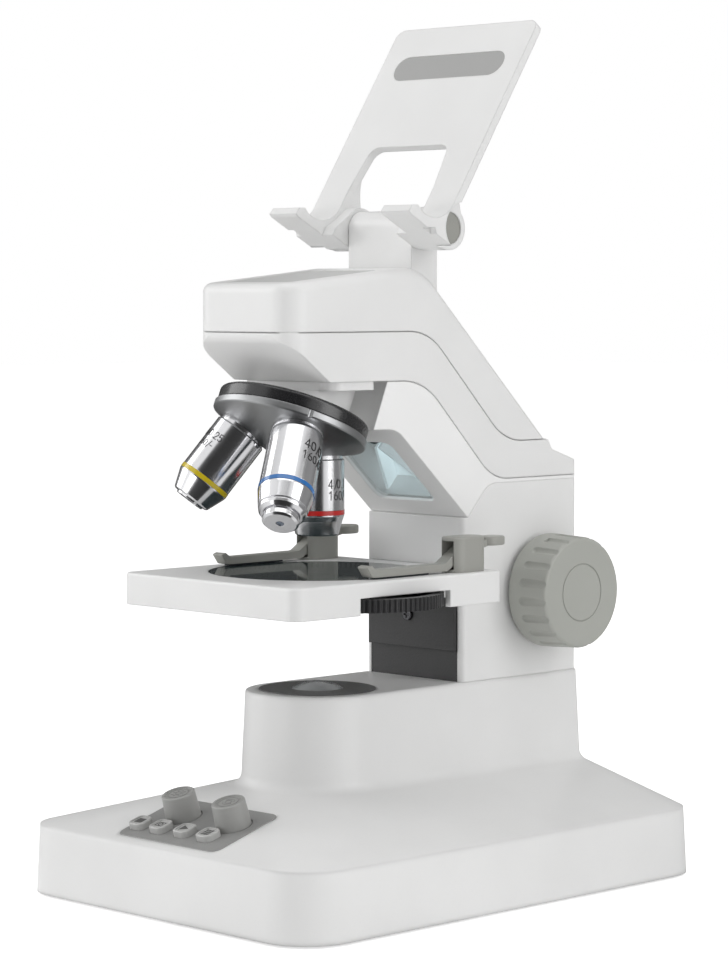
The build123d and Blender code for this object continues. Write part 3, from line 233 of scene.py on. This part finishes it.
def glass(name, base, rough=0.02, alpha=0.35, **sock):
    m = Mat(name, base, rough, 0.0, Alpha=alpha, **sock)
    c = m.noise(30, 3)
    m.rgh(m.ramp(c, 0.3, 0.75, rough, rough + 0.05))
    m.col(m.mix(m.ramp(c, 0.3, 0.7), shade(base, 0.94), shade(base, 1.03)))
    m.nrm(m.bump(m.noise(400, 2), 0.000004, 0.3, m.bevel(0.0003)))
    return m.m


def use(node, mat):
    o = NODES[node]
    if not o.material_slots:
        o.data.materials.append(mat)
    for s in o.material_slots:
        s.material = mat


# ------------------------------------------------------------------ record facts used for placing
JOINTS = {j["name"]: j for j in frame["joints"]}
FOCUS = Vector(JOINTS["focus_turn"]["pos_m"])
T_AX = Vector(JOINTS["turret_turn"]["axis"]).normalized()
T_POS = Vector(JOINTS["turret_turn"]["pos_m"])
PN = Vector(JOINTS["left_light_knob_turn"]["axis"]).normalized()
ALPHA = math.acos(-T_AX.z)
lens_lo, lens_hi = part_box("lamp_lens")
OPT = Vector(((lens_lo.x + lens_hi.x) / 2, (lens_lo.y + lens_hi.y) / 2, 0)) if hasattr(lens_lo, "x") else Vector(((lens_lo[0] + lens_hi[0]) / 2, (lens_lo[1] + lens_hi[1]) / 2, 0))
# the point where the objective axes meet, on the optical axis and on the turret axis
P0 = T_POS - T_AX * ((T_POS.y - OPT.y) / T_AX.y)
U_AX = Vector((0, math.cos(ALPHA), -math.sin(ALPHA)))


def obj_dir(deg):
    a = math.radians(deg)
    return (T_AX * math.cos(ALPHA) + (U_AX * math.cos(a) + Vector((1, 0, 0)) * math.sin(a)) * math.sin(ALPHA)).normalized()


# ------------------------------------------------------------------ materials
WHITE = (0.80, 0.80, 0.795)
white = plastic("white_moulded", WHITE, rough=0.36, grain=0.00003, bevel=0.0009, edge_highlight=0.08, Specular_IOR_Level=0.5)
white_base = plastic("white_moulded_base", WHITE, rough=0.38, grain=0.00003, bevel=0.0032, edge_highlight=0.03)
white_small = plastic("white_small_parts", WHITE, rough=0.34, grain=0.00002, bevel=0.0005, edge_highlight=0.08)
grey = plastic("grey_moulded", (0.33, 0.33, 0.305), rough=0.40, bevel=0.0005, edge_highlight=0.10)
warm = plastic("warm_grey_knob", (0.385, 0.392, 0.362), rough=0.42, bevel=0.0006, edge_highlight=0.12)
panel_g = plastic("panel_grey", (0.27, 0.27, 0.265), rough=0.46, grain=0.00008, grain_scale=1400, bevel=0.0003, edge_highlight=0.1)
knob_g = plastic("light_knob_grey", (0.33, 0.33, 0.32), rough=0.40, bevel=0.0005, edge_highlight=0.12)
button_g = plastic("button_grey", (0.46, 0.46, 0.45), rough=0.32, bevel=0.0004, edge_highlight=0.1)
black = plastic("black_moulded", (0.018, 0.018, 0.019), rough=0.38, bevel=0.0005, edge_highlight=0.25)
black_metal = plastic("black_enamelled_metal", (0.010, 0.010, 0.011), rough=0.26, grain=0.00002, bevel=0.0005, edge_highlight=0.3, Coat_Weight=0.3, Coat_Roughness=0.12)
lamp_dark = plastic("lamp_ring_grey", (0.13, 0.13, 0.13), rough=0.4, bevel=0.0004, edge_highlight=0.15)
plate_dark = plastic("dark_powder_coat", (0.030, 0.030, 0.031), rough=0.5, grain=0.0001, grain_scale=1100, bevel=0.0004, edge_highlight=0.2, spots=0.06)
rubber = plastic("foot_rubber", (0.02, 0.02, 0.02), rough=0.75, grain=0.0001, grain_scale=700)
pad = plastic("grey_pad", (0.375, 0.375, 0.37), rough=0.62, grain=0.00007, grain_scale=1300, bevel=0.0003, edge_highlight=0.05)
board = plastic("solder_mask", (0.02, 0.14, 0.05), rough=0.35)
disc_metal = turned("revolving_disc_satin", (0.36, 0.365, 0.37), P0, T_AX, rough=0.38, lines=5000, depth=0.00001)
chrome = metal("chrome_small_parts", (0.72, 0.72, 0.74), rough=0.14)
steel = metal("ground_steel", (0.56, 0.56, 0.57), rough=0.28)
wire = metal("spring_wire", (0.60, 0.60, 0.61), rough=0.25, scale=900)
brass = metal("machined_brass", (0.72, 0.52, 0.22), rough=0.28)
lens_m = glass("coated_lens", (0.16, 0.20, 0.26), rough=0.02, alpha=0.75, Coat_Weight=1.0, Coat_Roughness=0.02)
pane_m = glass("window_pane_glass", (0.05, 0.11, 0.11), rough=0.02, alpha=0.22)
stage_g = glass("dark_stage_glass", (0.035, 0.050, 0.052), rough=0.03, alpha=0.97, Specular_IOR_Level=0.5, Coat_Weight=0.15, Coat_Roughness=0.02)

use("base_housing", white_base)
for n in ("base_bottom_cover", "column_housing", "arm_lower_shell", "arm_top_cover", "stage_plate", "holder_plate"):
    use(n, white)
# the throat cover glows faintly: painted light filling the shade under the head, it is no lamp
use("throat_cover", plastic("white_moulded_throat_painted_glow", WHITE, rough=0.36, grain=0.00003, bevel=0.0009, edge_highlight=0.08, Emission_Color=(1, 1, 1, 1), Emission_Strength=0.07))
for n in ("holder_post", "nosepiece_mount"):
    use(n, white_small)
# the reflector behind the window glows: painted light, it is no lamp
use("light_reflector", plastic("reflector_painted_glow", (0.80, 0.86, 0.87), rough=0.25, grain=0.00001, bevel=0.0003, Emission_Color=(0.80, 0.95, 1.0, 1), Emission_Strength=0.50))
use("incident_led", metal("led_holder", (0.10, 0.11, 0.115), rough=0.2))
for n in ("clip_mounts", "clip_lever_left", "clip_lever_right", "hinge_caps"):
    use(n, grey)
for n in ("focus_knob_left", "focus_knob_right"):
    use(n, warm)
for n in ("light_knob_left", "light_knob_right"):
    use(n, knob_g)
for n in ("button_stop", "button_photo", "button_play", "button_grid"):
    use(n, button_g)
use("control_panel", panel_g)
use("top_inset_panel", plastic("head_inset_grey", (0.52, 0.52, 0.515), rough=0.5, grain=0.00004, bevel=0.0003, edge_highlight=0.05))
for n in ("power_inlet", "camera_module", "diaphragm_wheel"):
    use(n, black)
use("nosepiece_ring", black_metal)
use("bracket_screw", metal("black_oxide_steel", (0.10, 0.10, 0.105), rough=0.22))
use("lamp_ring", lamp_dark)
use("focus_guide_plate", plate_dark)
use("stage_carriage", plate_dark)
use("rubber_feet", rubber)
use("holder_pad", pad)
for n in ("control_board", "lamp_board"):
    use(n, board)
use("turret_disc", disc_metal)
for n in ("turret_pivot", "diaphragm_screw"):
    use(n, chrome)
for n in ("base_screws", "guide_rods", "focus_shaft", "clip_pins", "hinge_pin"):
    use(n, steel)
for n in ("clip_spring_left", "clip_spring_right"):
    use(n, wire)
for n in ("focus_rack", "focus_pinion"):
    use(n, brass)
use("objective_lenses", lens_m)
use("lamp_lens", glass("lamp_lens_frosted", (0.55, 0.57, 0.58), rough=0.12, alpha=0.62, Coat_Weight=1.0, Coat_Roughness=0.03))
use("window_pane", pane_m)
use("stage_glass", stage_g)

OBJ = {"objective_4x": 0, "objective_10x": 240, "objective_40x": 120}
for n, deg in OBJ.items():
    use(n, turned("turned_chrome_" + n, (0.70, 0.70, 0.715), P0, obj_dir(deg), rough=0.15))
for n, c, deg in (("colour_ring_red", (0.55, 0.012, 0.010), 0), ("colour_ring_yellow", (0.60, 0.46, 0.008), 240), ("colour_ring_blue", (0.012, 0.14, 0.42), 120)):
    use(n, plastic("enamel_" + n, c, rough=0.22, grain=0.00001, bevel=0.0002, Coat_Weight=0.6, Coat_Roughness=0.08))

# ------------------------------------------------------------------ fine pieces added round the CAD
paint = plastic("black_fill_paint", (0.012, 0.012, 0.012), rough=0.35, grain=0.00001, bevel=0.0001, edge_highlight=0.0)
icon_dark = plastic("icon_inlay_grey", (0.085, 0.085, 0.083), rough=0.45, grain=0.00003, grain_scale=1500, bevel=0.0001, edge_highlight=0.05)
icon_mid = plastic("icon_inlay_mid", (0.27, 0.27, 0.265), rough=0.45, grain=0.00003, grain_scale=1500, bevel=0.0001, edge_highlight=0.05)
clip_rubber = plastic("clip_pad_rubber", (0.016, 0.022, 0.026), rough=0.55, grain=0.00003)


def add(name, bm, mat, body, smooth=False):
    me = bpy.data.meshes.new(name)
    bmesh.ops.recalc_face_normals(bm, faces=bm.faces)
    bm.to_mesh(me)
    bm.free()
    for p in me.polygons:
        p.use_smooth = smooth
    o = bpy.data.objects.new(name, me)
    bpy.context.scene.collection.objects.link(o)
    o.data.materials.append(mat)
    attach(o, body)
    return o


def slab(bm, pts, place, z0, z1):
    """A flat piece with outline pts (mm, in a local plane) between two local heights, set by place(x, y, z)."""
    lo = [bm.verts.new(place(x, y, z0)) for x, y in pts]
    hi = [bm.verts.new(place(x, y, z1)) for x, y in pts]
    n = len(pts)
    bm.faces.new(list(reversed(lo)))
    bm.faces.new(hi)
    for k in range(n):
        bm.faces.new((lo[k], lo[(k + 1) % n], hi[(k + 1) % n], hi[k]))


def arc(cx, cy, r, a0, a1, n=16):
    return [(cx + r * math.cos(math.radians(a0 + (a1 - a0) * k / n)), cy + r * math.sin(math.radians(a0 + (a1 - a0) * k / n))) for k in range(n + 1)]


def ring_parts(bm, place, cx, cy, r0, r1, z0, z1, a0=0.0, a1=360.0, n=32):
    outer, inner = arc(cx, cy, r1, a0, a1, n), arc(cx, cy, r0, a0, a1, n)
    for k in range(n):
        slab(bm, [inner[k], outer[k], outer[k + 1], inner[k + 1]], place, z0, z1)


# strokes of the simple numerals and signs cut into the barrels: unit cell 0..0.6 x 0..1
def glyph(ch):
    if ch == "0":
        return [arc(0.3, 0.7, 0.26, 0, 180, 8) + arc(0.3, 0.3, 0.26, 180, 360, 8) + [(0.56, 0.7)]]
    if ch == "1":
        return [[(0.14, 0.78), (0.34, 1.0), (0.34, 0.0)]]
    if ch == "2":
        return [arc(0.3, 0.72, 0.26, 170, -35, 9) + [(0.04, 0.0), (0.58, 0.0)]]
    if ch == "4":
        return [[(0.42, 0.0), (0.42, 1.0), (0.02, 0.3), (0.6, 0.3)]]
    if ch == "5":
        return [[(0.54, 1.0), (0.12, 1.0), (0.07, 0.56)] + arc(0.29, 0.32, 0.28, 130, -140, 10)]
    if ch == "6":
        return [arc(0.3, 0.3, 0.27, 0, 360, 14), [(0.04, 0.34), (0.14, 0.72), (0.42, 1.0)]]
    if ch == "7":
        return [[(0.04, 1.0), (0.57, 1.0), (0.22, 0.0)]]
    if ch == "/":
        return [[(0.06, -0.08), (0.5, 1.08)]]
    if ch == ".":
        return [[(0.24, 0.0), (0.24, 0.08)]]
    if ch == "-":
        return [[(0.1, 0.45), (0.5, 0.45)]]
    return []


def barrel_text(name, deg, rows, phi, r=10.92, thick=0.20):
    """Rows of numerals wrapped round a barrel. rows = (text, t of the row's baseline, height), all in mm; phi = centre angle."""
    d = obj_dir(deg)
    # on the barrel, angles are measured round its axis from this reference direction
    ref = Vector((0, -1, 0)) - d * d.dot(Vector((0, -1, 0)))
    ref.normalize()
    side = d.cross(ref)
    bm = bmesh.new()

    def at(s, t, rr):
        a = math.radians(phi) + s / r
        return P0 + d * (t * MM) + (ref * math.cos(a) + side * math.sin(a)) * (rr * MM)

    for text, t_base, h in rows:
        width = sum(0.45 if c in "/.-" else 0.78 for c in text) * h
        x = -width / 2
        for c in text:
            for line in glyph(c):
                for (x0, y0), (x1, y1) in zip(line[:-1], line[1:]):
                    L = math.hypot(x1 - x0, y1 - y0) * h
                    if L < 1e-4:
                        continue
                    k = max(1, int(L / 0.35))
                    nx, ny = -(y1 - y0) * h / L * 0.11 * h / 2, (x1 - x0) * h / L * 0.11 * h / 2
                    ex, ey = (x1 - x0) * h / L * 0.04 * h, (y1 - y0) * h / L * 0.04 * h
                    ax, ay = x + x0 * h - ex, y0 * h - ey
                    bx, by = x + x1 * h + ex, y1 * h + ey
                    prev = None
                    for q in range(k + 1):
                        mx, my = ax + (bx - ax) * q / k, ay + (by - ay) * q / k
                        # text reads with its foot towards the objective's tip
                        row = [bm.verts.new(at(-(mx + sx * nx), t_base - (my + sx * ny), rr)) for sx in (-1, 1) for rr in (r - 0.12, r + 0.012)]
                        if prev:
                            for a2, b2 in ((0, 1), (1, 3), (3, 2), (2, 0)):
                                bm.faces.new((prev[a2], prev[b2], row[b2], row[a2]))
                        prev = row
            x += (0.45 if c in "/.-" else 0.78) * h
    return add(name, bm, paint, "turret")


TEXT = {
    "marks_40x": (120, [("40/0.65", 60.6, 3.8), ("160/0.17", 65.6, 3.4)], -124),
    "marks_4x": (0, [("4/0.1", 61.0, 3.4), ("160/-", 65.6, 3.4)], -100),
    "marks_10x": (240, [("10/0.25", 58.5, 3.0), ("160/-", 62.8, 2.8)], 16),
}
for nm, (deg, rows, phi) in TEXT.items():
    barrel_text(nm, deg, rows, phi)

# panel: local x to the right, y up the slope, z out of the panel
P_LO = Vector((0, 0, 0))
PX = Vector((1, 0, 0))
PY = PN.cross(PX).normalized()
KNOBS = {"left": Vector(JOINTS["left_light_knob_turn"]["pos_m"]), "right": Vector(JOINTS["right_light_knob_turn"]["pos_m"])}


def top_of(node, n):
    return max(v.co.dot(n) for v in NODES[node].data.vertices)


def plane_at(node, sink):
    """Placing function with its origin on the node's axis, z = 0 at a depth below the node's highest point."""
    lo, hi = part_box(node)
    c = Vector((0, 0, 0))
    n = 0
    zt = top_of(node, PN)
    pts = [v.co for v in NODES[node].data.vertices if v.co.dot(PN) > zt - 0.0006]
    xs = [p.x for p in pts]
    ys = [p.dot(PY) for p in pts]
    cx, cy = (min(xs) + max(xs)) / 2, (min(ys) + max(ys)) / 2
    o = PX * cx + PY * cy + PN * (zt - sink * MM)
    return lambda x, y, z: o + PX * (x * MM) + PY * (y * MM) + PN * (z * MM)


# buttons: inlaid signs in the recess of each key
for key, body in (("stop", "stop_button"), ("photo", "photo_button"), ("play", "play_button"), ("grid", "grid_button")):
    pl = plane_at("button_" + key, 0.5)
    bm = bmesh.new()
    if key == "stop":
        slab(bm, [(-2.0, -1.7), (2.0, -1.7), (2.0, 1.7), (-2.0, 1.7)], pl, -0.05, 0.18)
    elif key == "photo":
        ring_parts(bm, pl, 0, 0, 0.7, 1.15, -0.05, 0.18)
        for p in ([(-2.1, -1.6), (2.1, -1.6), (2.1, -1.25), (-2.1, -1.25)], [(-2.1, 1.25), (2.1, 1.25), (2.1, 1.6), (-2.1, 1.6)],
                  [(-2.1, -1.25), (-1.7, -1.25), (-1.7, 1.25), (-2.1, 1.25)], [(1.7, -1.25), (2.1, -1.25), (2.1, 1.25), (1.7, 1.25)]):
            slab(bm, p, pl, -0.05, 0.18)
    elif key == "play":
        slab(bm, [(-1.7, -1.9), (2.0, 0.0), (-1.7, 1.9)], pl, -0.05, 0.18)
    else:
        for i in range(3):
            for k in range(3):
                x, y = -1.45 + 1.45 * i, -1.45 + 1.45 * k
                slab(bm, [(x - 0.55, y - 0.55), (x + 0.55, y - 0.55), (x + 0.55, y + 0.55), (x - 0.55, y + 0.55)], pl, -0.05, 0.18)
    add("sign_" + key, bm, icon_dark, body)

# light knobs: a raised ring and a small lamp sign inlaid in each top, with rays round the sign on the left knob and two
# arcs on the right
for side in ("left", "right"):
    pl = plane_at("light_knob_" + side, 0.35)
    bm = bmesh.new()
    ring_parts(bm, pl, 0, 0, 3.9, 4.2, -0.05, 0.14, n=48)
    ring_parts(bm, pl, 0, 0.2, 1.15, 1.5, -0.05, 0.14)
    if side == "left":
        for a in range(0, 360, 45):
            ca_, sa_ = math.cos(math.radians(a)), math.sin(math.radians(a))
            slab(bm, [(2.0 * ca_ - 0.14 * sa_, 0.2 + 2.0 * sa_ + 0.14 * ca_), (2.9 * ca_ - 0.14 * sa_, 0.2 + 2.9 * sa_ + 0.14 * ca_),
                      (2.9 * ca_ + 0.14 * sa_, 0.2 + 2.9 * sa_ - 0.14 * ca_), (2.0 * ca_ + 0.14 * sa_, 0.2 + 2.0 * sa_ - 0.14 * ca_)], pl, -0.05, 0.14)
    else:
        ring_parts(bm, pl, 0, 0.2, 2.2, 2.5, -0.05, 0.14, a0=20, a1=160, n=16)
        ring_parts(bm, pl, 0, 0.2, 2.2, 2.5, -0.05, 0.14, a0=200, a1=340, n=16)
    add("light_sign_" + side, bm, icon_mid, side + "_light_knob")

# coil springs under the clip levers: copies of the CAD springs, carried with the stage
for side in ("left", "right"):
    src = NODES["clip_spring_" + side]
    lo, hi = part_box("clip_spring_" + side)
    coil = bpy.data.objects.new("spring_coil_" + side, src.data.copy())
    bpy.context.scene.collection.objects.link(coil)
    coil.matrix_world = src.matrix_world
    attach(coil, "stage")
    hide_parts("clip_spring_" + side)
    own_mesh(coil)

# soft pads under the clip levers, where they press on a slide
for side, sx in (("left", -1), ("right", 1)):
    lo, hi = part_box("clip_lever_" + side)
    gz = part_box("stage_glass")[1].z
    cx = (lo.x + hi.x) / 2
    bm = bmesh.new()
    y0, y1, w = lo.y + 0.0056, lo.y + 0.0340, 0.0021
    z0, z1 = gz + 0.00012, gz + 0.00095
    ring = [(cx - w, y0), (cx + w, y0), (cx + w, y1), (cx - w, y1)]
    lo_v = [bm.verts.new((x, y, z0)) for x, y in ring]
    hi_v = [bm.verts.new((x, y, z1)) for x, y in ring]
    bm.faces.new(list(reversed(lo_v)))
    bm.faces.new(hi_v)
    for k in range(4):
        bm.faces.new((lo_v[k], lo_v[(k + 1) % 4], hi_v[(k + 1) % 4], hi_v[k]))
    add("clip_pad_" + side, bm, clip_rubber, "clip_" + side)

# ------------------------------------------------------------------ floor, light, camera
# brightness of what polished metal sees, by azimuth: dark card behind the camera, soft boxes at its sides
stops = [(-180, 0.30), (-150, 0.75), (-128, 1.15), (-92, 1.15), (-84, 0.10), (-60, 0.045), (-22, 0.06), (-14, 1.05), (22, 1.15), (30, 0.25), (70, 0.35), (105, 0.12), (128, 0.045), (150, 0.045), (170, 0.20), (180, 0.30)]
bpy.ops.mesh.primitive_plane_add(size=14, location=(0, 0, 0))
floor = bpy.context.object
floor.name = "floor"
fm = Mat("floor_paper", (0.90, 0.90, 0.90), 0.75)
fm.col(fm.mix(fm.ramp(fm.noise(3, 3), 0.3, 0.7), (0.895, 0.895, 0.895), (0.91, 0.91, 0.91)))
fm.nrm(fm.bump(fm.noise(400, 2), 0.00005, 0.3))
fm.b.inputs["Emission Color"].default_value = (1, 1, 1, 1)
f_lp = fm.n("ShaderNodeLightPath")
fm.l(fm.ramp(f_lp.outputs["Is Camera Ray"], 0, 1, 0.06, 0.60), fm.b.inputs["Emission Strength"])
# polished metal sees the same light and dark cards in the floor as round it
f_sep = fm.n("ShaderNodeSeparateXYZ")
fm.l(fm.co, f_sep.inputs[0])
f_ramp = fm.n("ShaderNodeValToRGB")
fm.l(fm.ramp(fm.math("ARCTAN2", f_sep.outputs["Y"], f_sep.outputs["X"]), -math.pi, math.pi), f_ramp.inputs[0])
fe = f_ramp.color_ramp.elements
while len(fe) > 1:
    fe.remove(fe[-1])
for i, (deg, v) in enumerate(stops):
    e = fe[0] if i == 0 else fe.new((deg + 180) / 360)
    e.position = (deg + 180) / 360
    e.color = (v, v, v, 1)
f_em = fm.n("ShaderNodeEmission")
fm.l(f_ramp.outputs[0], f_em.inputs[0])
f_em.inputs[1].default_value = 0.85
f_mix = fm.n("ShaderNodeMixShader")
fm.l(f_lp.outputs["Is Glossy Ray"], f_mix.inputs[0])
fm.l(fm.b.outputs[0], f_mix.inputs[1])
fm.l(f_em.outputs[0], f_mix.inputs[2])
fm.l(f_mix.outputs[0], fm.out.inputs[0])
floor.data.materials.append(fm.m)


def area(name, loc, size, power, target=(0, 0, 0.16), size_y=None):
    ld = bpy.data.lights.new(name, "AREA")
    ld.shape = "RECTANGLE"
    ld.size, ld.size_y = size, size_y or size
    ld.energy = power
    lo = bpy.data.objects.new(name, ld)
    bpy.context.scene.collection.objects.link(lo)
    lo.location = loc
    lo.rotation_euler = (Vector(target) - Vector(loc)).to_track_quat("-Z", "Y").to_euler()
    return lo


area("top_soft", (0.2, -0.2, 1.9), 1.8, 11)
area("left_soft", (-1.6, -0.9, 0.8), 1.2, 13, size_y=1.4)
area("front_fill", (-0.35, -1.5, 0.16), 0.9, 2.2, target=(0, 0, 0.16), size_y=0.26)
area("right_soft", (1.7, 0.5, 0.8), 1.0, 11, size_y=1.4)

world = bpy.data.worlds.new("studio")
bpy.context.scene.world = world
world.use_nodes = True
wt = world.node_tree
wt.nodes.clear()
w_out = wt.nodes.new("ShaderNodeOutputWorld")
w_mix = wt.nodes.new("ShaderNodeMixShader")
w_cam = wt.nodes.new("ShaderNodeBackground")
w_env = wt.nodes.new("ShaderNodeBackground")
w_lp = wt.nodes.new("ShaderNodeLightPath")
w_cam.inputs[0].default_value = (1, 1, 1, 1)
w_cam.inputs[1].default_value = 1.0
w_env.inputs[0].default_value = (1, 1, 1, 1)
wt.links.new(w_lp.outputs["Is Camera Ray"], w_mix.inputs[0])
wt.links.new(w_env.outputs[0], w_mix.inputs[1])
wt.links.new(w_cam.outputs[0], w_mix.inputs[2])
wt.links.new(w_mix.outputs[0], w_out.inputs[0])


def wn(kind, **kw):
    nd = wt.nodes.new(kind)
    for k, v in kw.items():
        setattr(nd, k, v)
    return nd


w_tc = wn("ShaderNodeTexCoord")
w_sep = wn("ShaderNodeSeparateXYZ")
wt.links.new(w_tc.outputs["Generated"], w_sep.inputs[0])
w_at = wn("ShaderNodeMath", operation="ARCTAN2")
wt.links.new(w_sep.outputs["Y"], w_at.inputs[0])
wt.links.new(w_sep.outputs["X"], w_at.inputs[1])
w_ramp = wn("ShaderNodeValToRGB")
w_map = wn("ShaderNodeMapRange")
w_map.inputs["From Min"].default_value = -math.pi
w_map.inputs["From Max"].default_value = math.pi
wt.links.new(w_at.outputs[0], w_map.inputs["Value"])
wt.links.new(w_map.outputs[0], w_ramp.inputs[0])
el = w_ramp.color_ramp.elements
while len(el) > 1:
    el.remove(el[-1])
for i, (deg, v) in enumerate(stops):
    e = el[0] if i == 0 else el.new((deg + 180) / 360)
    e.position = (deg + 180) / 360
    e.color = (v, v, v, 1)
# overhead is bright whatever the azimuth
w_up = wn("ShaderNodeMapRange")
w_up.inputs["From Min"].default_value = 0.55
w_up.inputs["From Max"].default_value = 0.85
wt.links.new(w_sep.outputs["Z"], w_up.inputs["Value"])
w_m2 = wn("ShaderNodeMix", data_type="RGBA")
wt.links.new(w_up.outputs[0], w_m2.inputs[0])
wt.links.new(w_ramp.outputs[0], w_m2.inputs[6])
w_m2.inputs[7].default_value = (0.95, 0.95, 0.95, 1)
wt.links.new(w_m2.outputs[2], w_env.inputs[0])
w_env.inputs[1].default_value = 1.0
# even, slightly directional light for everything that isn't a reflection
w_even = wn("ShaderNodeBackground")
w_even.inputs[0].default_value = (1, 1, 1, 1)
w_even.inputs[1].default_value = 0.43
w_mix2 = wn("ShaderNodeMixShader")
wt.links.new(w_lp.outputs["Is Diffuse Ray"], w_mix2.inputs[0])
wt.links.new(w_env.outputs[0], w_mix2.inputs[1])
wt.links.new(w_even.outputs[0], w_mix2.inputs[2])
wt.links.new(w_mix2.outputs[0], w_mix.inputs[1])

cam_d = bpy.data.cameras.new("camera")
cam = bpy.data.objects.new("camera", cam_d)
bpy.context.scene.collection.objects.link(cam)
cam.location = (0.90097, -0.882789, 0.240052)
cam.rotation_euler = (math.radians(90 - 1.975), 0, math.radians(45.341))
cam_d.sensor_width = 36
cam_d.lens = 3126.575 * 36 / 970
cam_d.shift_x = -16.058 / 970
cam_d.shift_y = -0.09
cam_d.clip_start, cam_d.clip_end = 0.05, 60
bpy.context.scene.camera = cam

sc = bpy.context.scene
sc.view_settings.view_transform = "Standard"
sc.view_settings.look = "None"
sc.view_settings.exposure = 0.0
